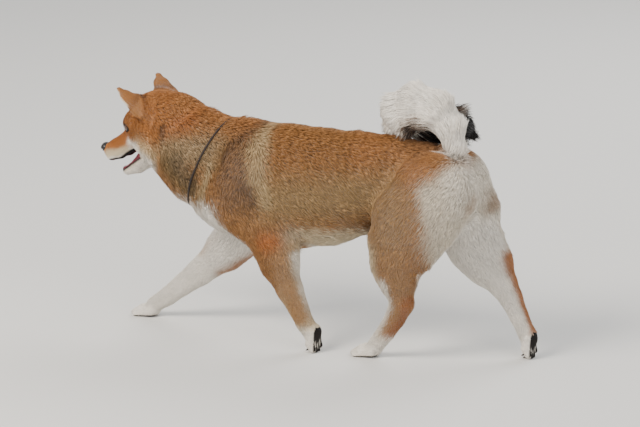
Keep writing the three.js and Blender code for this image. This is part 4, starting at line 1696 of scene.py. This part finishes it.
class Face:
    """Eyes, nose and tongue."""

    # Angles from the eye's axis, in radians, over which iris and pupil end.
    IRIS_EDGE = (0.74, 0.84)
    PUPIL_EDGE = (0.36, 0.3)

    def __init__(self, finishes: Finishes) -> None:
        """Stores the materials."""
        self.finishes = finishes

    def eye(self, side: int) -> bpy.types.Object:
        """Makes an eyeball with iris and pupil.

        Args:
            side: -1 for the left eye and 1 for the right.
        Returns:
            The object.
        """
        size = EyeSize()
        turns, rows = 64, 48
        polar = np.pi * (np.arange(rows + 1) / rows) ** 1.4
        around = 2 * np.pi * np.arange(turns) / turns
        grid = np.stack([np.outer(np.sin(polar), np.cos(around)), np.outer(np.sin(polar), np.sin(around)),
                         np.outer(np.cos(polar), np.ones(turns))], axis=-1)
        swell = 1.0 + 0.05 * ramp(polar, 0.75, 0.2)
        points = (grid * swell[:, None, None] * size.radius).reshape(-1, 3)
        inner = points[turns:-turns]
        caps = np.array([[0, 0, points[:, 2].max()], [0, 0, points[:, 2].min()]])
        points = np.concatenate([inner, caps])
        faces = []
        for row in range(rows - 2):
            for k in range(turns):
                a, b = row * turns + k, row * turns + (k + 1) % turns
                faces += [(a, a + turns, b + turns), (a, b + turns, b)]
        top, bottom, last = len(points) - 2, len(points) - 1, (rows - 2) * turns
        for k in range(turns):
            faces += [(top, k, (k + 1) % turns), (bottom, last + (k + 1) % turns, last + k)]
        name = "eyeball_left" if side < 0 else "eyeball_right"
        piece = mesh_object(name, out_of(eye_frame(side, size), points), faces)
        angle = np.arctan2(np.hypot(points[:, 0], points[:, 1]), points[:, 2])
        white = ramp(angle, *self.IRIS_EDGE)[:, None]
        colour = linear("4A2A14") * (1 - white) + linear("1C1310") * white
        pupil = ramp(angle, *self.PUPIL_EDGE)[:, None]
        paint(piece, "markings", colour * (1 - pupil) + linear("050403") * pupil)
        self.finishes.dress(piece, Surface.EYE)
        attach(piece, "root")
        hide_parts("eye_left" if side < 0 else "eye_right")
        LOG.info("%s: radius %.1f mm", name, size.radius)
        return piece

    def nose(self) -> bpy.types.Object:
        """Makes the nose with its nostrils and groove.

        Returns:
            The object.
        """
        wings = both_sides(ball([-122, -6.6, -31.5], [7, 4.6, 5.6]))
        bridge, lip = ball([-123.5, 0, -30], [8.2, 9.2, 7.2]), ball([-126, 0, -36], [4.0, 3.6, 5.0])
        body = blended(3, bridge, wings, lip)
        hole, slot = ball([-131.5, -4.6, -31.2], [4.6, 2.1, 2.2]), ball([-127, -8.6, -33.2], [4.4, 3.4, 1.1])
        nostril = both_sides(blended(1.5, hole, slot))
        groove = ball([-133.6, 0, -36], [3.6, 0.55, 8.0])
        form = placed(HEAD, hollowed(0.8, hollowed(0.9, body, nostril), groove))
        centre = out_of(HEAD, np.array([[-124.0, 0.0, -31.0]]))[0]
        points, faces = Net(centre - 17, centre + 17, 0.7).mesh(form)
        piece = mesh_object("nose_leather", settle(form, points, 1), faces)
        self.finishes.dress(piece, Surface.NOSE)
        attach(piece, "root")
        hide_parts("nose")
        LOG.info("nose_leather: %d faces", len(faces))
        return piece

    def tongue(self) -> bpy.types.Object:
        """Makes the tongue with a shallow groove.

        Returns:
            The object.
        """
        body = Limb([[-42, 0, -58, 4.4], [-66, 0, -67, 4.0], [-84, 0, -73.2, 2.9]], 1.7)
        groove = Limb([[-42, 0, -52.6, 1.2], [-66, 0, -62.0, 1.2], [-82, 0, -69.4, 0.9]])
        form = placed(HEAD, hollowed(1.0, body, groove))
        centre = out_of(HEAD, np.array([[-62.0, 0.0, -66.0]]))[0]
        points, faces = Net(centre - 34, centre + 34, 1.0).mesh(form)
        piece = mesh_object("tongue_flesh", settle(form, points, 1), faces)
        self.finishes.dress(piece, Surface.TONGUE)
        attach(piece, "root")
        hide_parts("tongue")
        LOG.info("tongue_flesh: %d faces", len(faces))
        return piece


@dataclass(frozen=True)
class CollarSize:
    """Sizes of the collar."""

    centre: tuple[float, float, float] = (-192.0, 3.0, 308.0)
    down: tuple[float, float, float] = (-0.42, 0.0, -0.907)
    cord: float = 1.75
    lift: float = -0.6
    # How much deeper it lies at nape and throat, and the slow waves it keeps of the neck's outline.
    sink: float = 5.0
    waves: int = 9


class Collar:
    """The round collar that lies in the neck's coat."""

    def __init__(self, size: CollarSize, finishes: Finishes) -> None:
        """Stores the sizes."""
        self.size = size
        self.finishes = finishes

    def build(self) -> bpy.types.Object:
        """Makes the collar.

        Returns:
            The object.
        """
        down = unit(np.array(self.size.down))
        aside = np.array([0.0, 1.0, 0.0])
        turns, sides = 180, 12
        angle = 2 * np.pi * np.arange(turns) / turns
        way = np.outer(np.cos(angle), down) + np.outer(np.sin(angle), aside)
        centre = np.array(self.size.centre)
        reach = np.full(turns, 70.0)
        for _ in range(30):
            reach = reach - OUTLINE(centre + way * reach[:, None]) * 0.7
        slow = np.minimum(np.arange(turns), turns - np.arange(turns)) < self.size.waves
        reach = np.real(np.fft.ifft(np.fft.fft(reach) * slow))
        line = centre + way * (reach + self.size.lift - self.size.sink * np.cos(angle) ** 4)[:, None]
        axis = np.cross(down, aside)
        around = 2 * np.pi * np.arange(sides) / sides
        ring = np.cos(around)[None, :, None] * way[:, None] + np.sin(around)[None, :, None] * axis[None, None]
        points = (line[:, None] + ring * self.size.cord).reshape(-1, 3)
        i, j = np.meshgrid(np.arange(turns), np.arange(sides), indexing="ij")
        i2, j2 = (i + 1) % turns, (j + 1) % sides
        corners = [i * sides + j, i2 * sides + j, i2 * sides + j2, i * sides + j2]
        faces = np.stack(corners, axis=-1).reshape(-1, 4)
        piece = mesh_object("collar_cord", points, faces)
        self.finishes.dress(piece, Surface.COLLAR)
        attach(piece, "root")
        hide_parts("collar")
        LOG.info("collar_cord: %.0f mm round", np.linalg.norm(np.roll(line, 1, 0) - line, axis=1).sum())
        return piece


class Horn:
    """Claws and teeth, rounded copies of the frame's nodes."""

    def __init__(self, nodes: dict[str, bpy.types.Object], finishes: Finishes) -> None:
        """Stores the frame's nodes."""
        self.nodes = nodes
        self.finishes = finishes

    def build(self, name: str, surface: Surface, slot: str) -> bpy.types.Object:
        """Makes a rounded copy of one node.

        Args:
            name: The node.
            surface: Its finish.
            slot: Not used.
        Returns:
            The object.
        """
        source = self.nodes[name]
        piece = bpy.data.objects.new(f"{name}_horn", source.data.copy())
        bpy.context.collection.objects.link(piece)
        bm = bmesh.new()
        bm.from_mesh(piece.data)
        bmesh.ops.remove_doubles(bm, verts=bm.verts, dist=1e-5)
        bm.to_mesh(piece.data)
        bm.free()
        modifier = piece.modifiers.new("round", "SUBSURF")
        modifier.levels = modifier.render_levels = 1
        piece.data.polygons.foreach_set("use_smooth", np.ones(len(piece.data.polygons), bool))
        self.finishes.dress(piece, surface)
        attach(piece, "root")
        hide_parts(name)
        return piece

    def build_all(self) -> None:
        """Makes every claw and tooth."""
        claws = [name for name in self.nodes if "_claw_" in name]
        teeth = [name for name in self.nodes if name.startswith("tooth_")]
        for name in claws:
            self.build(name, Surface.CLAW, "claw")
        for name in teeth:
            self.build(name, Surface.TOOTH, "tooth")
        LOG.info("horn: %d claws, %d teeth", len(claws), len(teeth))


@dataclass(frozen=True)
class Lamp:
    """A soft light."""

    name: str
    place: tuple[float, float, float]
    size: float
    watts: float
    colour: str = "FFFFFF"


@dataclass(frozen=True)
class Studio:
    """Floor, lights and camera."""

    target: tuple[float, float, float] = (0.03463, 0.00095, 0.22285)
    azimuth: float = 24.0
    elevation: float = 13.0
    distance: float = 6.0
    lens: float = 202.5
    sensor: float = 36.0
    floor: float = 40.0
    sky: tuple[float, float, float, float] = (0.86, 0.88, 0.9, 1.0)
    sky_strength: float = 0.85
    lamps: tuple[Lamp, ...] = (
        Lamp("key", (-1.6, -2.8, 3.0), 2.2, 235.0, "FFF8EE"),
        Lamp("fill", (3.2, -2.4, 1.8), 2.6, 60.0),
        Lamp("back", (0.6, 3.0, 2.6), 2.4, 85.0),
    )

    def build(self, finishes: Finishes) -> None:
        """Sets the stage.

        Args:
            finishes: The materials.
        """
        bpy.ops.mesh.primitive_plane_add(size=self.floor, location=(0, 0, 0))
        floor = bpy.context.object
        floor.name = "floor"
        finishes.dress(floor, Surface.FLOOR)
        for lamp in self.lamps:
            data = bpy.data.lights.new(lamp.name, "AREA")
            data.shape, data.size, data.energy = "DISK", lamp.size, lamp.watts
            data.color = tuple(linear(lamp.colour))
            light = bpy.data.objects.new(lamp.name, data)
            light.location = lamp.place
            aim = Vector(self.target) - Vector(lamp.place)
            light.rotation_euler = aim.to_track_quat("-Z", "Y").to_euler()
            bpy.context.collection.objects.link(light)
        world = bpy.data.worlds.new("studio")
        world.use_nodes = True
        background = world.node_tree.nodes["Background"]
        background.inputs[0].default_value = self.sky
        background.inputs[1].default_value = self.sky_strength
        bpy.context.scene.world = world
        self._camera()

    def _camera(self) -> None:
        """Places the camera."""
        a, e = math.radians(self.azimuth), math.radians(self.elevation)
        back = Vector((math.sin(a) * math.cos(e), -math.cos(a) * math.cos(e), math.sin(e)))
        data = bpy.data.cameras.new("camera")
        data.lens = self.lens
        data.sensor_width = self.sensor
        camera = bpy.data.objects.new("camera", data)
        camera.location = Vector(self.target) + back * self.distance
        camera.rotation_euler = (-back).to_track_quat("-Z", "Y").to_euler()
        bpy.context.collection.objects.link(camera)
        bpy.context.scene.camera = camera


def main() -> None:
    """Builds the whole model."""
    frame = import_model()
    finishes = Finishes()
    pelt, markings = Pelt(), Markings()
    maker = Skin(pelt, markings)
    skin = maker.build()
    maker.unwrap(skin)
    maker.dress(skin, finishes)
    Coat(pelt, markings, maker.form).build(skin, finishes)
    face = Face(finishes)
    for side in SIDES:
        face.eye(side)
    face.nose()
    face.tongue()
    Collar(CollarSize(), finishes).build()
    Horn(frame["nodes"], finishes).build_all()
    Studio().build(finishes)


if __name__ == "__main__":
    main()
